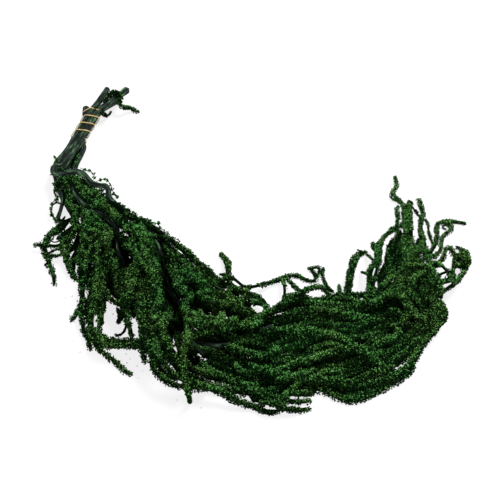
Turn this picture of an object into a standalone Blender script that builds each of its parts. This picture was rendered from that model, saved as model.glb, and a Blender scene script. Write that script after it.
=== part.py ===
"""A bunch of hanging amaranth, dyed green and laid down in a crescent.

Six cut stems are held by a wound band. Long tassels of tiny flowers hang from the stems and lie
combed to one side, heaped on each other. Every strand is laid in turn, first the ones underneath,
and comes to rest on the table and on the strands laid before it.
"""

import math

import bmesh
import bpy
import numpy as np
from mathutils import Matrix, Vector

METRES_PER_MM = 0.001

# The routes below are read from a picture taken by an eye above the table and nearer its front edge.
# A picture point is (pixels right, pixels down). One pixel is one millimetre at the picture's middle.
EYE_ELEVATION = math.radians(60.0)
EYE_DISTANCE = 1500.0
PICTURE_MIDDLE = (250.0, 250.0)
MM_PER_PIXEL = 1.0

# How strands lie.
SKIN_GAP = 0.7
SAMPLE_STEP = 2.0
CURVE_STEP = 1.0
CHORD_ERROR = 0.45
LONGEST_RING_STEP = 20.0
SHORTEST_RING_STEP = 3.5
SIGHTING_PASSES = 7
SETTLING_PASSES = 60
TASSEL_SAG_RADIUS = 130.0
STEM_SAG_RADIUS = 400.0

# Cross-sections.
TASSEL_SIDES = 5
STEM_SIDES = 6
KNOB_SHARE = 0.08
KNOB_TURN = 2.4
POINT_LENGTH = 0.9

# The bundle of stems, where the band holds it.
BUNDLE_LIFT = 2.6
BUNDLE_AXIS = [(107, 98), (98, 108.5), (90.5, 118.5), (84.5, 128.5), (79, 137.5), (73, 147.5),
               (66, 157.5), (59, 166)]

# The band is wound round the bundle from a first to a last place along the bundle's axis.
BAND_RADIUS = 0.6
BAND_GAP = 0.75
BAND_TURNS = 3.8
BAND_STEPS_PER_TURN = 14
BAND_SIDES = 4
BAND_FIRST = 24.0
BAND_LAST = 62.0

# Each stem: its radius and how far its place in the bundle is to the right of the bundle's axis, in mm,
# the first and last of the axis points that it follows, and its route before and after them.
STEMS = {
    "stem_1": dict(radius=2.9, aside=3.3, follows=(1, 5), cut_end=[(110, 101)],
                   route=[(69, 160), (67, 172), (71, 184), (82, 198), (96, 208), (110, 217), (126, 225),
                          (146, 233), (158, 237), (167, 243), (176, 251), (190, 264), (212, 285),
                          (236, 306)]),
    "stem_2": dict(radius=2.8, aside=-3.3, follows=(2, 7), cut_end=[(86, 107.5), (86, 116)],
                   route=[(57, 178), (60, 192), (68, 206), (84, 236), (102, 262), (128, 296), (152, 328),
                          (168, 352)]),
    "stem_3": dict(radius=2.9, aside=-3.2, follows=(1, 7), cut_end=[(101.5, 98.5)],
                   route=[(60, 177), (72, 190), (90, 204), (114, 222), (140, 234), (151, 238),
                          (157, 244), (159.5, 252), (162, 260), (166.5, 278), (169, 287), (176, 299),
                          (184, 312), (188, 330), (193, 340), (204, 344), (228, 345), (250, 340),
                          (272, 326)]),
    "stem_4": dict(radius=2.8, aside=3.8, follows=(1, 4), cut_end=[(119, 100)],
                   route=[(83.5, 149), (78, 160), (74, 172), (72, 184), (76, 195), (84, 205),
                          (95, 211.5), (104, 216), (111, 221.5), (116, 229), (117, 237), (117, 246),
                          (120.5, 256), (125, 268)]),
    "stem_5": dict(radius=2.7, aside=-3.2, follows=(1, 7), cut_end=[(107.5, 89)],
                   route=[(55, 176), (61, 188), (62.5, 200), (60, 211), (56, 222)]),
    "stem_6": dict(radius=3.1, aside=3.0, follows=(1, 7), cut_end=[(127, 90)],
                   route=[(54.5, 168), (55.5, 175), (66, 174), (76, 172), (84, 175), (91, 183),
                          (99, 186), (105.5, 186.5), (108.5, 191), (109, 197), (115, 204), (121, 211),
                          (126, 221)]),
}

# Each tassel: its thickness in mm and its route, from the stem that bears it to its tip.
# These lie under the stems and fill the heap.
UNDER_TASSELS = {
    "under_tassel_1": (12.0, [(120, 222), (150, 245), (180, 270), (212, 298), (245, 320), (284, 320),
                              (322, 312), (362, 308), (394, 292), (404, 266), (404, 238)]),
    "under_tassel_2": (12.0, [(106, 222), (132, 254), (160, 286), (195, 316), (235, 340), (280, 340),
                              (325, 332), (370, 324), (404, 306), (416, 280), (414, 250)]),
    "under_tassel_3": (12.0, [(94, 220), (114, 252), (142, 294), (178, 332), (220, 357), (265, 362),
                              (310, 356), (355, 350), (398, 334), (424, 306), (428, 272)]),
    "under_tassel_4": (12.0, [(86, 216), (100, 248), (124, 284), (148, 322), (172, 352), (206, 374),
                              (252, 384), (300, 376), (345, 374), (390, 360), (420, 338), (434, 308)]),
    "under_tassel_5": (10.0, [(142, 240), (154, 272), (160, 304), (166, 340), (178, 366), (206, 384),
                              (248, 394), (284, 396)]),
    "under_tassel_6": (9.0, [(80, 181), (89, 192), (99, 201), (108, 209), (119, 217), (131, 226),
                             (144, 235)]),
    "under_tassel_7": (10.5, [(130, 236), (138, 264), (141, 292), (144, 318), (148, 342), (158, 366)]),
}

SHOULDER_TASSELS = {
    "shoulder_tassel_1": (8.5, [(114, 203), (120, 207), (127, 214), (135, 219), (143, 221), (151, 227),
                                (159, 233), (167, 238), (175, 245), (183, 251), (191, 258), (199, 266),
                                (208, 273), (217, 280), (228, 287), (238, 296)]),
    "shoulder_tassel_2": (8.5, [(90, 218), (104, 229), (120, 237), (140, 246), (160, 258), (180, 270),
                                (196, 284), (210, 300), (226, 312), (244, 316)]),
    "shoulder_tassel_3": (6.0, [(58, 186), (61, 181), (67, 181), (73, 183), (79, 188), (83, 195),
                                (90, 198), (98, 197), (105, 194)]),
}

LEFT_TASSELS = {
    "left_tassel_1": (7.8, [(64, 218), (59, 226), (52, 233), (46.5, 240), (44.5, 248), (47, 256),
                            (49, 263), (52, 270), (54, 277), (54, 284)]),
    "left_tassel_2": (6.2, [(74, 236), (66, 243), (57, 246), (46, 245.5), (34.5, 245)]),
    "left_tassel_3": (8.0, [(76, 206), (74, 226), (69, 242), (66.5, 256), (70, 267), (76.5, 280)]),
    "left_tassel_4": (7.5, [(84, 214), (84, 236), (81, 258), (81.5, 280), (83, 295), (81, 306), (76, 314),
                            (71.5, 320.5)]),
    "left_tassel_5": (7.5, [(90, 220), (91, 245), (87, 268), (83, 288), (81.5, 300), (82.5, 318),
                            (84, 330), (89, 340), (90, 349.5)]),
    "left_tassel_6": (6.3, [(97, 224), (98, 248), (94, 270), (91, 290), (90, 310), (90, 328), (94, 342),
                            (99, 349), (106, 355), (114, 360.5), (119, 366), (124, 371), (131, 374.5)]),
    "left_vine": (2.6, [(55, 180), (54, 190), (57, 197), (52, 203), (51, 211), (55, 220)]),
}

CURTAIN_TASSELS = {
    "curtain_tassel_1": (8.0, [(106, 230), (107, 256), (103, 280), (100, 302), (100, 320), (98.5, 331),
                               (106, 340), (122, 341.5), (138, 342.5), (156, 348)]),
    "curtain_tassel_2": (7.0, [(98, 236), (98, 262), (96, 286), (93, 308), (92, 325), (96, 338),
                               (106, 345.5), (120, 346), (134, 346), (148, 350)]),
    "curtain_tassel_3": (7.0, [(107, 242), (112, 262), (118, 286), (125, 306), (119, 321)]),
    "curtain_tassel_4": (7.5, [(124, 266), (133, 290), (139, 314), (142.5, 334), (142, 349),
                               (145, 362)]),
    "curtain_tassel_5": (8.5, [(132, 232), (141, 244), (144, 262), (142, 286), (142, 312), (146, 336),
                               (152, 352), (153.5, 364), (158, 372.5), (166, 379), (176, 384),
                               (190, 387), (206, 388)]),
    "curtain_tassel_6": (8.0, [(142, 236), (151, 250), (153, 272), (151, 298), (152, 326), (158, 350),
                               (170, 370), (190, 380), (212, 387), (224, 393), (236, 400), (248, 404),
                               (260, 408.5), (270, 412.5), (278, 411)]),
    "curtain_tassel_7": (8.5, [(147, 242), (153.5, 258), (155.5, 282), (158, 310), (164, 336), (176, 356),
                               (196, 370), (220, 375)]),
    "curtain_tassel_8": (7.5, [(134, 236), (137, 252), (133, 272), (128, 292), (127.5, 314),
                               (130, 330), (133, 341)]),
    "curtain_tassel_9": (8.0, [(176, 252), (188, 270), (200, 288), (214, 302), (232, 304), (248, 297),
                               (257, 297.5), (265, 303), (266, 311), (258, 318)]),
    "curtain_tassel_10": (6.8, [(166, 247), (172, 262), (178, 284), (186, 304), (188, 324), (186, 344),
                                (183.5, 360), (184, 374), (189, 404)]),
}

ROPE_TASSELS = {
    "rope_tassel_1": (8.5, [(236, 308), (256, 317), (272, 312), (280, 307), (288, 300), (297, 297),
                            (305, 298), (313, 302), (323, 302), (335, 297), (351, 296), (366, 296),
                            (378, 292), (388, 281), (390, 264), (392, 247)]),
    "rope_tassel_2": (8.0, [(226, 346), (244, 351), (262, 357), (282, 350), (300, 341), (320, 334),
                            (342, 338), (368, 341), (394, 338), (416, 340)]),
    "rope_tassel_3": (8.5, [(240, 372), (262, 376), (284, 369), (304, 361), (328, 355), (352, 352),
                            (376, 346), (400, 334)]),
    "rope_tassel_4": (8.5, [(276, 385), (290, 386.5), (304, 386.5), (318, 389), (328, 392), (338, 397.5),
                            (348, 400), (358, 399.5), (368, 396), (380, 390), (392, 383.5), (402, 378),
                            (409, 372), (413, 366)]),
    "rope_tassel_5": (9.0, [(250, 366), (290, 378), (324, 380), (352, 385), (378, 381), (398, 373),
                            (413, 360), (422, 345), (431, 333), (439, 323), (443, 314), (439, 303)]),
    "rope_tassel_6": (8.5, [(282, 332), (304, 331), (324, 334), (342, 340), (358, 350), (374, 361),
                            (388, 371)]),
    "rope_tassel_7": (8.0, [(330, 312), (356, 306), (380, 301), (394, 293), (403, 299), (412, 311),
                            (427, 321)]),
    "rope_tassel_8": (8.0, [(404, 322), (410, 304), (411, 287), (418, 276), (429, 275), (434, 290),
                            (434, 308), (434, 333)]),
    "rope_tassel_9": (14.0, [(258, 322), (240, 325), (222, 325.5), (206, 325), (193, 325.5)]),
    "rope_tassel_10": (7.4, [(250, 387), (268, 395), (284, 400), (298, 401.5), (310, 401.5)]),
    "rope_tassel_11": (7.2, [(258, 394), (272, 403), (285, 409), (299, 410), (309.5, 409)]),
}

TIP_TASSELS = {
    "tip_tassel_1": (5.4, [(372, 296), (375, 276), (379, 260), (379.5, 250), (380.5, 243), (385, 236),
                           (391, 231), (398, 227), (404, 225), (408, 216)]),
    "tip_tassel_2": (4.7, [(404, 262), (405, 240), (404, 222), (404, 208), (400, 201), (394, 196.5),
                           (393, 191.5), (396.5, 187), (396.5, 182), (395, 177)]),
    "tip_tassel_3": (6.0, [(412, 262), (411, 244), (411, 228), (409.5, 214), (408, 204), (412, 200.5)]),
    "tip_tassel_4": (5.2, [(424, 262), (425, 246), (422, 234), (421, 222), (423, 214), (420, 206),
                           (418.5, 199.5)]),
    "tip_tassel_5": (5.0, [(424, 254), (432, 250), (436, 242), (437, 232), (437, 225), (443, 222),
                           (452, 221.5), (465, 224)]),
    "tip_tassel_6": (4.5, [(424, 257.5), (434, 256.5), (439.5, 251), (441, 243), (443, 236), (449, 232),
                           (452, 228), (449.5, 224.5), (444.5, 224.5)]),
    "tip_tassel_7": (4.6, [(428, 266), (437, 263.5), (442.5, 259), (444.5, 252), (447.5, 247.5),
                           (451.5, 248), (452.5, 253), (458, 258.5), (463, 262), (461.5, 253)]),
    "tip_tassel_8": (4.6, [(436, 296), (443, 291.5), (450, 287), (457, 281.5), (461, 275), (466, 268),
                           (468.5, 261), (468, 255), (464, 250.5), (457, 247.5)]),
    "tip_tassel_9": (7.2, [(346, 298), (348.5, 288), (349, 280), (351, 272), (353, 263), (355.5, 256.5),
                           (361, 254), (365.5, 252.5)]),
    "tip_tassel_10": (5.0, [(366, 298), (369, 286), (369, 276), (370, 269), (374, 263.5), (377.5, 259),
                            (377, 252.5), (374, 247), (372.5, 243.5)]),
    "tip_tassel_11": (4.8, [(433, 284), (440, 281.5), (447, 281.5), (452.5, 278), (453, 272.5),
                            (455.5, 267), (461, 266)]),
}

EDGE_TASSELS = {
    "edge_tassel_1": (5.6, [(230, 300), (229, 287), (228, 277), (228.5, 268), (227, 261), (223.5, 257),
                            (220.5, 254)]),
    "edge_tassel_2": (4.3, [(222, 280), (230, 277), (237, 282), (244, 287), (252, 287.5), (262, 284.5),
                            (272, 282), (282, 278.5), (290, 275.5), (297, 275.8), (304, 279.5),
                            (311, 281.5), (316, 280.5), (315, 276), (312.5, 271), (308.5, 268.5)]),
    "edge_tassel_3": (5.6, [(284, 301), (292, 297), (300, 293.5), (308, 289.5), (315, 287), (321, 287),
                            (326, 291), (330, 297)]),
}

CUT_END_TASSELS = {
    "cut_end_tassel": (4.2, [(104, 103), (108, 97.5), (113, 93.5), (118, 94.5), (120.5, 99),
                             (119.5, 105), (123, 107.5), (129, 107), (134, 109.5), (138.5, 112.5)]),
}

# The order in which the groups are laid down, with the stems after the first.
TASSEL_GROUPS = [SHOULDER_TASSELS, LEFT_TASSELS, CURTAIN_TASSELS, ROPE_TASSELS, TIP_TASSELS,
                 EDGE_TASSELS, CUT_END_TASSELS]


def sighted(points, heights):
    """The table places, in mm, of picture points on things at these heights above the table."""
    points = np.asarray(points, float)
    right = (points[:, 0] - PICTURE_MIDDLE[0]) * MM_PER_PIXEL
    up = (PICTURE_MIDDLE[1] - points[:, 1]) * MM_PER_PIXEL
    rise = EYE_DISTANCE * math.sin(EYE_ELEVATION)
    reach = EYE_DISTANCE * math.cos(EYE_ELEVATION)
    share = (rise - heights) / (rise - up * math.cos(EYE_ELEVATION))
    return np.column_stack([share * right, share * (reach + up * math.sin(EYE_ELEVATION)) - reach])


def lengths_along(points):
    """How far along the line each of its points is."""
    steps = np.linalg.norm(np.diff(points, axis=0), axis=1)
    return np.concatenate([[0.0], np.cumsum(steps)])


def at_lengths(points, along, wanted):
    """The points of a line at the wanted lengths along it."""
    return np.column_stack([np.interp(wanted, along, points[:, k]) for k in range(points.shape[1])])


def smooth_curve(points):
    """A centripetal Catmull-Rom curve through the points, as points CURVE_STEP apart."""
    points = np.asarray(points, float)
    padded = np.vstack([2 * points[0] - points[1], points, 2 * points[-1] - points[-2]])
    knots = np.concatenate([[0.0], np.cumsum(np.sqrt(np.linalg.norm(np.diff(padded, axis=0), axis=1)))])
    pieces = []
    for k in range(1, len(padded) - 2):
        t0, t1, t2, t3 = knots[k - 1:k + 3]
        p0, p1, p2, p3 = padded[k - 1:k + 3]
        t = np.linspace(t1, t2, 24, endpoint=False)[:, None]
        a1 = (t1 - t) / (t1 - t0) * p0 + (t - t0) / (t1 - t0) * p1
        a2 = (t2 - t) / (t2 - t1) * p1 + (t - t1) / (t2 - t1) * p2
        a3 = (t3 - t) / (t3 - t2) * p2 + (t - t2) / (t3 - t2) * p3
        b1 = (t2 - t) / (t2 - t0) * a1 + (t - t0) / (t2 - t0) * a2
        b2 = (t3 - t) / (t3 - t1) * a2 + (t - t1) / (t3 - t1) * a3
        pieces.append((t2 - t) / (t2 - t1) * b1 + (t - t1) / (t2 - t1) * b2)
    curve = np.vstack(pieces + [points[-1:]])
    along = lengths_along(curve)
    count = max(2, int(along[-1] / CURVE_STEP) + 1)
    return at_lengths(curve, along, np.linspace(0.0, along[-1], count))


def ring_places(curve):
    """The places of the fewest rings whose chords keep within CHORD_ERROR of the curve."""
    last = len(curve) - 1
    kept = [0]
    while kept[-1] < last:
        start = kept[-1]
        end = start + 1
        while end < last:
            trial = end + 1
            chord = curve[trial] - curve[start]
            length = np.linalg.norm(chord)
            offsets = curve[start:trial] - curve[start]
            error = np.abs(offsets[:, 0] * chord[1] - offsets[:, 1] * chord[0]).max() / max(length, 1e-6)
            long_enough = (trial - start) * CURVE_STEP > SHORTEST_RING_STEP
            if long_enough and (error > CHORD_ERROR or length > LONGEST_RING_STEP):
                break
            end = trial
        kept.append(end)
    if len(kept) > 2 and (kept[-1] - kept[-2]) * CURVE_STEP < SHORTEST_RING_STEP:
        kept.pop(-2)
    return curve[kept]


class Heap:
    """The strands laid so far, as balls along their centre lines."""

    def __init__(self):
        self.balls = np.zeros((0, 3))
        self.radii = np.zeros(0)

    def add(self, centres, radii):
        """Lays a strand on the heap for good."""
        along = lengths_along(centres)
        wanted = np.linspace(0.0, along[-1], int(along[-1] / SAMPLE_STEP) + 2)
        self.balls = np.vstack([self.balls, at_lengths(centres, along, wanted)])
        self.radii = np.concatenate([self.radii, np.interp(wanted, along, radii)])

    def resting_heights(self, places, radii, sides, lift):
        """The lowest height at which a ball at each place clears the table and the heap."""
        heights = radii * math.cos(math.pi / sides) + lift
        if len(self.balls):
            away = np.hypot(places[:, None, 0] - self.balls[None, :, 0],
                            places[:, None, 1] - self.balls[None, :, 1])
            reach = radii[:, None] + self.radii[None, :] + SKIN_GAP
            over = np.sqrt(np.clip(reach ** 2 - away ** 2, 0.0, None))
            tops = np.where(away < reach, self.balls[None, :, 2] + over, 0.0)
            heights = np.maximum(heights, tops.max(axis=1))
        return heights

    def settle(self, rings, radii, sides, sag_radius, lifts):
        """The heights of a strand's rings when it has come to rest."""
        along = lengths_along(rings)
        floors = np.zeros(len(rings))
        for k in range(len(rings) - 1):
            count = int((along[k + 1] - along[k]) / SAMPLE_STEP) + 2
            wanted = np.linspace(along[k], along[k + 1], count)
            places = at_lengths(rings, along, wanted)
            resting = self.resting_heights(places, np.interp(wanted, along, radii), sides,
                                           np.interp(wanted, along, lifts))
            floors[k] = max(floors[k], resting.max())
            floors[k + 1] = max(floors[k + 1], resting.max())
        on_table = radii * math.cos(math.pi / sides)
        flat = floors <= np.maximum(on_table, np.roll(on_table, 1)).max() + 1e-6
        floors = np.where(flat & (lifts == 0.0), on_table, floors)
        heights = floors.copy()
        before, after = np.diff(along)[:-1], np.diff(along)[1:]
        for _ in range(SETTLING_PASSES):
            bridged = (heights[:-2] * after + heights[2:] * before) / (before + after)
            heights[1:-1] = np.maximum(floors[1:-1], bridged - before * after / (2 * sag_radius))
        return heights


def tassel_radii(along, thickness):
    """A tassel is thin where it leaves its stem, knobbly along its length, and narrow at its tip."""
    share = along / along[-1]
    base = 0.45 + 0.55 * np.clip(along / (2.5 * thickness), 0.0, 1.0)
    tip = 0.5 + 0.5 * np.clip((along[-1] - along) / (2.5 * thickness), 0.0, 1.0) ** 0.7
    knobs = 1.0 + KNOB_SHARE * np.sin(KNOB_TURN * np.arange(len(along)) + thickness)
    return 0.5 * thickness * base * tip * knobs * (1.0 - 0.15 * share)


def stem_radii(along, radius):
    """A stem thins slowly towards its far end."""
    return radius * (1.0 - 0.45 * (along / along[-1]) ** 1.5)


def lay(heap, plan_of, radii_of, sides, sag_radius, lift_of):
    """Sights a strand's route, settles it on the heap, and sights it again at the heights it took."""
    heights = np.array([6.0])
    for _ in range(SIGHTING_PASSES):
        plan, control_share = plan_of(heights)
        rings = ring_places(smooth_curve(plan))
        along = lengths_along(rings)
        radii = radii_of(along)
        settled = heap.settle(rings, radii, sides, sag_radius, lift_of(along))
        heights = (heights + np.interp(control_share * along[-1], along, settled)) / 2
    centres = np.column_stack([rings, settled])
    heap.add(centres, radii)
    return centres, radii


def shares(points):
    """How far along its route each point is, from 0 to 1."""
    along = lengths_along(np.asarray(points, float))
    return along / along[-1]


def lay_tassel(heap, thickness, route):
    def plan_of(heights):
        return sighted(route, heights), shares(route)

    return lay(heap, plan_of, lambda along: tassel_radii(along, thickness), TASSEL_SIDES,
               TASSEL_SAG_RADIUS, lambda along: np.zeros(len(along)))


def lay_stem(heap, radius, aside, follows, cut_end, route):
    """A stem lies beside the bundle's axis as far as it is held, and then follows its own route."""
    axis = np.asarray(BUNDLE_AXIS, float)
    slope = np.gradient(axis, axis=0)
    slope /= np.linalg.norm(slope, axis=1)[:, None]
    beside = axis - aside * np.column_stack([-slope[:, 1], slope[:, 0]]) / MM_PER_PIXEL
    first, last = follows
    points = np.vstack([cut_end, beside[first:last + 1], route])
    held_share = shares(points)[len(cut_end) + last - first]

    def plan_of(heights):
        return sighted(points, heights), shares(points)

    def lift_of(along):
        return np.where(along / along[-1] < held_share, BUNDLE_LIFT, 0.0)

    return lay(heap, plan_of, lambda along: stem_radii(along, radius), STEM_SIDES, STEM_SAG_RADIUS,
               lift_of)


def band_route(stems):
    """The band's centre line: a helix that touches the outside of the bundle all the way round."""
    axis = sighted(BUNDLE_AXIS, np.array([10.0]))
    along = lengths_along(axis)
    steps = int(BAND_TURNS * BAND_STEPS_PER_TURN) + 1
    points = []
    for k in range(steps):
        share = k / (steps - 1)
        place = BAND_FIRST + share * (BAND_LAST - BAND_FIRST)
        here = at_lengths(axis, along, np.array([place]))[0]
        ahead = at_lengths(axis, along, np.array([place + 1.0]))[0]
        forward = (ahead - here) / np.linalg.norm(ahead - here)
        aside = np.array([-forward[1], forward[0]])
        sections = []
        for centres, radii in stems:
            distance = (centres[:, :2] - here) @ forward
            near = np.nonzero((distance[:-1] <= 0.0) & (distance[1:] > 0.0))[0]
            if len(near):
                j = near[0]
                t = -distance[j] / (distance[j + 1] - distance[j])
                centre = centres[j] + t * (centres[j + 1] - centres[j])
                radius = radii[j] + t * (radii[j + 1] - radii[j])
                sections.append(((centre[:2] - here) @ aside, centre[2], radius))
        angle = math.tau * BAND_TURNS * share + math.pi / 2
        normal = np.array([math.cos(angle), math.sin(angle)])
        side, height, radius = max(sections, key=lambda s: s[0] * normal[0] + s[1] * normal[1] + s[2])
        offset = radius + BAND_GAP + BAND_RADIUS
        place_aside = side + offset * normal[0]
        points.append([*(here + place_aside * aside), height + offset * normal[1]])
    return np.array(points)


def material(name, colour, roughness):
    made = bpy.data.materials.new(name)
    made.use_nodes = True
    shader = made.node_tree.nodes["Principled BSDF"]
    shader.inputs["Base Color"].default_value = (*colour, 1.0)
    shader.inputs["Roughness"].default_value = roughness
    shader.inputs["Metallic"].default_value = 0.0
    made.diffuse_color = (*colour, 1.0)
    return made


def upright_ring(centre, heading, radius, sides):
    """A ring in an upright plane across the heading, with a flat side underneath."""
    across = np.array([-heading[1], heading[0], 0.0])
    ring = []
    for k in range(sides):
        angle = math.tau * k / sides + math.pi / 2 + (math.pi / sides if sides % 2 == 0 else 0.0)
        ring.append(centre + radius * (math.cos(angle) * across + math.sin(angle) * np.array([0, 0, 1.0])))
    return ring


def leaning_ring(centre, heading, radius, sides):
    """A ring square to the heading, for a line that climbs steeply."""
    across = np.cross(heading, (0.0, 0.0, 1.0))
    across /= np.linalg.norm(across)
    upward = np.cross(across, heading)
    angles = math.tau * (np.arange(sides) + 0.5) / sides
    return [centre + radius * (math.cos(a) * across + math.sin(a) * upward) for a in angles]


def tube(name, centres, radii, sides, paint, flat_start=False, ring_of=upright_ring):
    """A closed tube through the centres, in mm, pointed at its tip and, unless it is cut, its start."""
    headings = np.gradient(centres, axis=0)
    if ring_of is upright_ring:
        headings[:, 2] = 0.0
    headings /= np.linalg.norm(headings, axis=1)[:, None]
    mesh = bmesh.new()
    rings = []
    for centre, heading, radius in zip(centres, headings, radii):
        corners = ring_of(centre, heading, radius, sides)
        rings.append([mesh.verts.new(Vector(c) * METRES_PER_MM) for c in corners])
    for near, far in zip(rings[:-1], rings[1:]):
        for k in range(sides):
            mesh.faces.new([near[k], near[(k + 1) % sides], far[(k + 1) % sides], far[k]])
    tip = centres[-1] + POINT_LENGTH * radii[-1] * headings[-1]
    tip_vertex = mesh.verts.new(Vector(tip) * METRES_PER_MM)
    for k in range(sides):
        mesh.faces.new([rings[-1][k], rings[-1][(k + 1) % sides], tip_vertex])
    if flat_start:
        mesh.faces.new(rings[0][::-1])
    else:
        start = centres[0] - POINT_LENGTH * radii[0] * headings[0]
        start_vertex = mesh.verts.new(Vector(start) * METRES_PER_MM)
        for k in range(sides):
            mesh.faces.new([rings[0][(k + 1) % sides], rings[0][k], start_vertex])
    bmesh.ops.recalc_face_normals(mesh, faces=mesh.faces)
    bmesh.ops.triangulate(mesh, faces=mesh.faces)
    data = bpy.data.meshes.new(name)
    mesh.to_mesh(data)
    mesh.free()
    data.materials.append(paint)
    made = bpy.data.objects.new(name, data)
    bpy.context.scene.collection.objects.link(made)
    return made


def centre_on_table(objects):
    """Moves the bunch so that the origin is under the middle of its box, on the table."""
    corners = np.array([v.co for made in objects for v in made.data.vertices])
    low, high = corners.min(axis=0), corners.max(axis=0)
    shift = Vector((-(low[0] + high[0]) / 2, -(low[1] + high[1]) / 2, -low[2]))
    for made in objects:
        made.data.transform(Matrix.Translation(shift))
    return shift


def main():
    for old in list(bpy.data.objects):
        bpy.data.objects.remove(old)
    stem_paint = material("stem_green", (0.055, 0.085, 0.060), 0.55)
    flower_paint = material("flower_green", (0.020, 0.075, 0.014), 0.85)
    band_paint = material("band_tan", (0.72, 0.47, 0.20), 0.5)

    heap = Heap()
    objects = []
    for name, (thickness, route) in UNDER_TASSELS.items():
        centres, radii = lay_tassel(heap, thickness, route)
        objects.append(tube(name, centres, radii, TASSEL_SIDES, flower_paint))
    stems = []
    for name, stem in STEMS.items():
        centres, radii = lay_stem(heap, **stem)
        stems.append((centres, radii))
        objects.append(tube(name, centres, radii, STEM_SIDES, stem_paint, flat_start=True))
    wound = band_route(stems)
    objects.append(tube("tie_band", wound, np.full(len(wound), BAND_RADIUS), BAND_SIDES, band_paint,
                        flat_start=True, ring_of=leaning_ring))
    heap.add(wound, np.full(len(wound), BAND_RADIUS))
    for group in TASSEL_GROUPS:
        for name, (thickness, route) in group.items():
            centres, radii = lay_tassel(heap, thickness, route)
            objects.append(tube(name, centres, radii, TASSEL_SIDES, flower_paint))
    return centre_on_table(objects)


main()
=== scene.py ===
"""The looks of a tied bunch of hanging amaranth, dyed dark green, that lies in a crescent.

Every solid strand of the frame becomes a rope of tiny flowers along the same middle line. Finer ropes
are then laid on the heap, each where it shows in the picture, and flowers that nobody can see are
left out. Lengths are in mm until the meshes are made.
"""

import math

import bpy
import numpy as np
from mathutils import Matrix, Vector
from mathutils.bvhtree import BVHTree


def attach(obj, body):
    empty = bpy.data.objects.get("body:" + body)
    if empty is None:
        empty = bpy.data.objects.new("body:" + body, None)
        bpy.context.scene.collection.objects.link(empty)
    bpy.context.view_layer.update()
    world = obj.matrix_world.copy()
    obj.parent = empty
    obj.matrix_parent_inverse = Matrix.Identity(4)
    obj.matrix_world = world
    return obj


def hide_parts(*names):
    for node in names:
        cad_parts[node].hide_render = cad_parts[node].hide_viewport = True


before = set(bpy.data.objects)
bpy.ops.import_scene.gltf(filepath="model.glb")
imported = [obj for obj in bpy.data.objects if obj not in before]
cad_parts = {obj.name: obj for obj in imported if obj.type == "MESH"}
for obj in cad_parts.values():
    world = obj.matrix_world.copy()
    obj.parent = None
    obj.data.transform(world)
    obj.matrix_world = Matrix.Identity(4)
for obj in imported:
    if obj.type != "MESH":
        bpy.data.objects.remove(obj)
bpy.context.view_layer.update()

MM = 0.001
SEED = 7

# The eye. One pixel of the picture is one millimetre at the middle of the picture.
EYE_ELEVATION = math.radians(60.0)
EYE_DISTANCE = 1500.0
PICTURE_MIDDLE = (250.0, 250.0)
PICTURE_WIDTH = 500.0
SENSOR_WIDTH = 36.0
MIDDLE_ON_TABLE = np.array([-1.53, -3.83, 0.0])
EYE = MIDDLE_ON_TABLE + EYE_DISTANCE * np.array([0.0, -math.cos(EYE_ELEVATION), math.sin(EYE_ELEVATION)])
EYE_UP = np.array([0.0, math.sin(EYE_ELEVATION), math.cos(EYE_ELEVATION)])
EYE_AHEAD = np.array([0.0, math.cos(EYE_ELEVATION), -math.sin(EYE_ELEVATION)])

# How ropes lie on each other. A press of 1 is a mere touch, and less than 1 sinks in.
LINE_STEP = 1.0
BALL_STEP = 2.0
CURVE_PARTS = 24
HEADING_REACH = 0.8
TABLE_PRESS = 0.9
ROPE_PRESSED = 0.5
STRAY_PRESSED = 0.8
TWIG_PRESSED = 0.9
SAG_RADIUS = 90.0
SETTLING_PASSES = 40
SETTLING_STEPS = (8, 3, 1)
DIVE_LENGTH = 9.0
DIVE_DEPTH = 1.1
SCREEN_PRESS = 0.5
BEHIND_SCREEN = 3.6
EASING = 6

# A laid rope thins towards its ends, over this many times its thickness.
ROPE_END_LENGTH = 1.2
ROPE_END_SHARE = 0.6
ROPE_END_POWER = 0.7

# The closed tube inside a rope's flowers, in shares of the rope's radius.
CORE_SIDES = 5
CORE_STEP = 4.6
CORE_SHARE = 0.66
THIN_CORE_SHARE = 0.60
CORE_KNOBS = (0.8, 1.12)
CORE_END = 0.6
CORE_CAP = 0.5
# The core is nearly black: painted shade that shows through the gaps between flowers.
CORE_PAINTED_SHADE = 0.015

# Ropes with a smaller radius than this are thin.
THIN_ROPE = 2.9
THIN_BLEND = (0.6, 0.4)
THIN_DENSER = 1.6

# A rope's surface: knots of (height, length), whorls of flowers round it and clusters of them.
KNOTS = ((0.16, 4.5), (0.10, 2.0))
WHORL_EVERY = 3.0
WHORL_DEPTH = 0.18
WHORL_DRIFT = 2.5
WHORL_DRIFT_LENGTH = 9.0
CLUSTER_WIDTH = 2.5
CLUSTERS_ROUND = 64
CLUSTERS_ALONG = 512

# Separate flowers. Each is a grain: a pyramid with a ring of three corners and a tip.
GRAIN_FACES = np.array([(0, 2, 1), (0, 1, 3), (1, 2, 3), (2, 0, 3)])
# Painted light on each grain: its root is darker and its tip paler.
GRAIN_PAINTED_SHADING = (0.35, 0.35, 0.35, 1.75)
GRAINS_PER_MM2 = 0.53
GRAIN_SIZE = (0.70, 1.12)
GRAIN_DEPTH = (0.76, 1.12)
GRAIN_WIDTH = (0.8, 1.2)
GRAIN_LENGTH = (0.7, 1.3)
GRAIN_ROOT = 0.4
GRAIN_SUNK = 0.4
GRAIN_TILT = 0.45
GRAIN_LEAN = 0.3
GRAIN_RISEN = 0.6
FULL_GRAIN_RADIUS = 3.2
GRAIN_SCALE = (0.75, 1.1)
CLUSTER_STANDS = 0.5
CLUSTER_SHINES = 0.3

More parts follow.
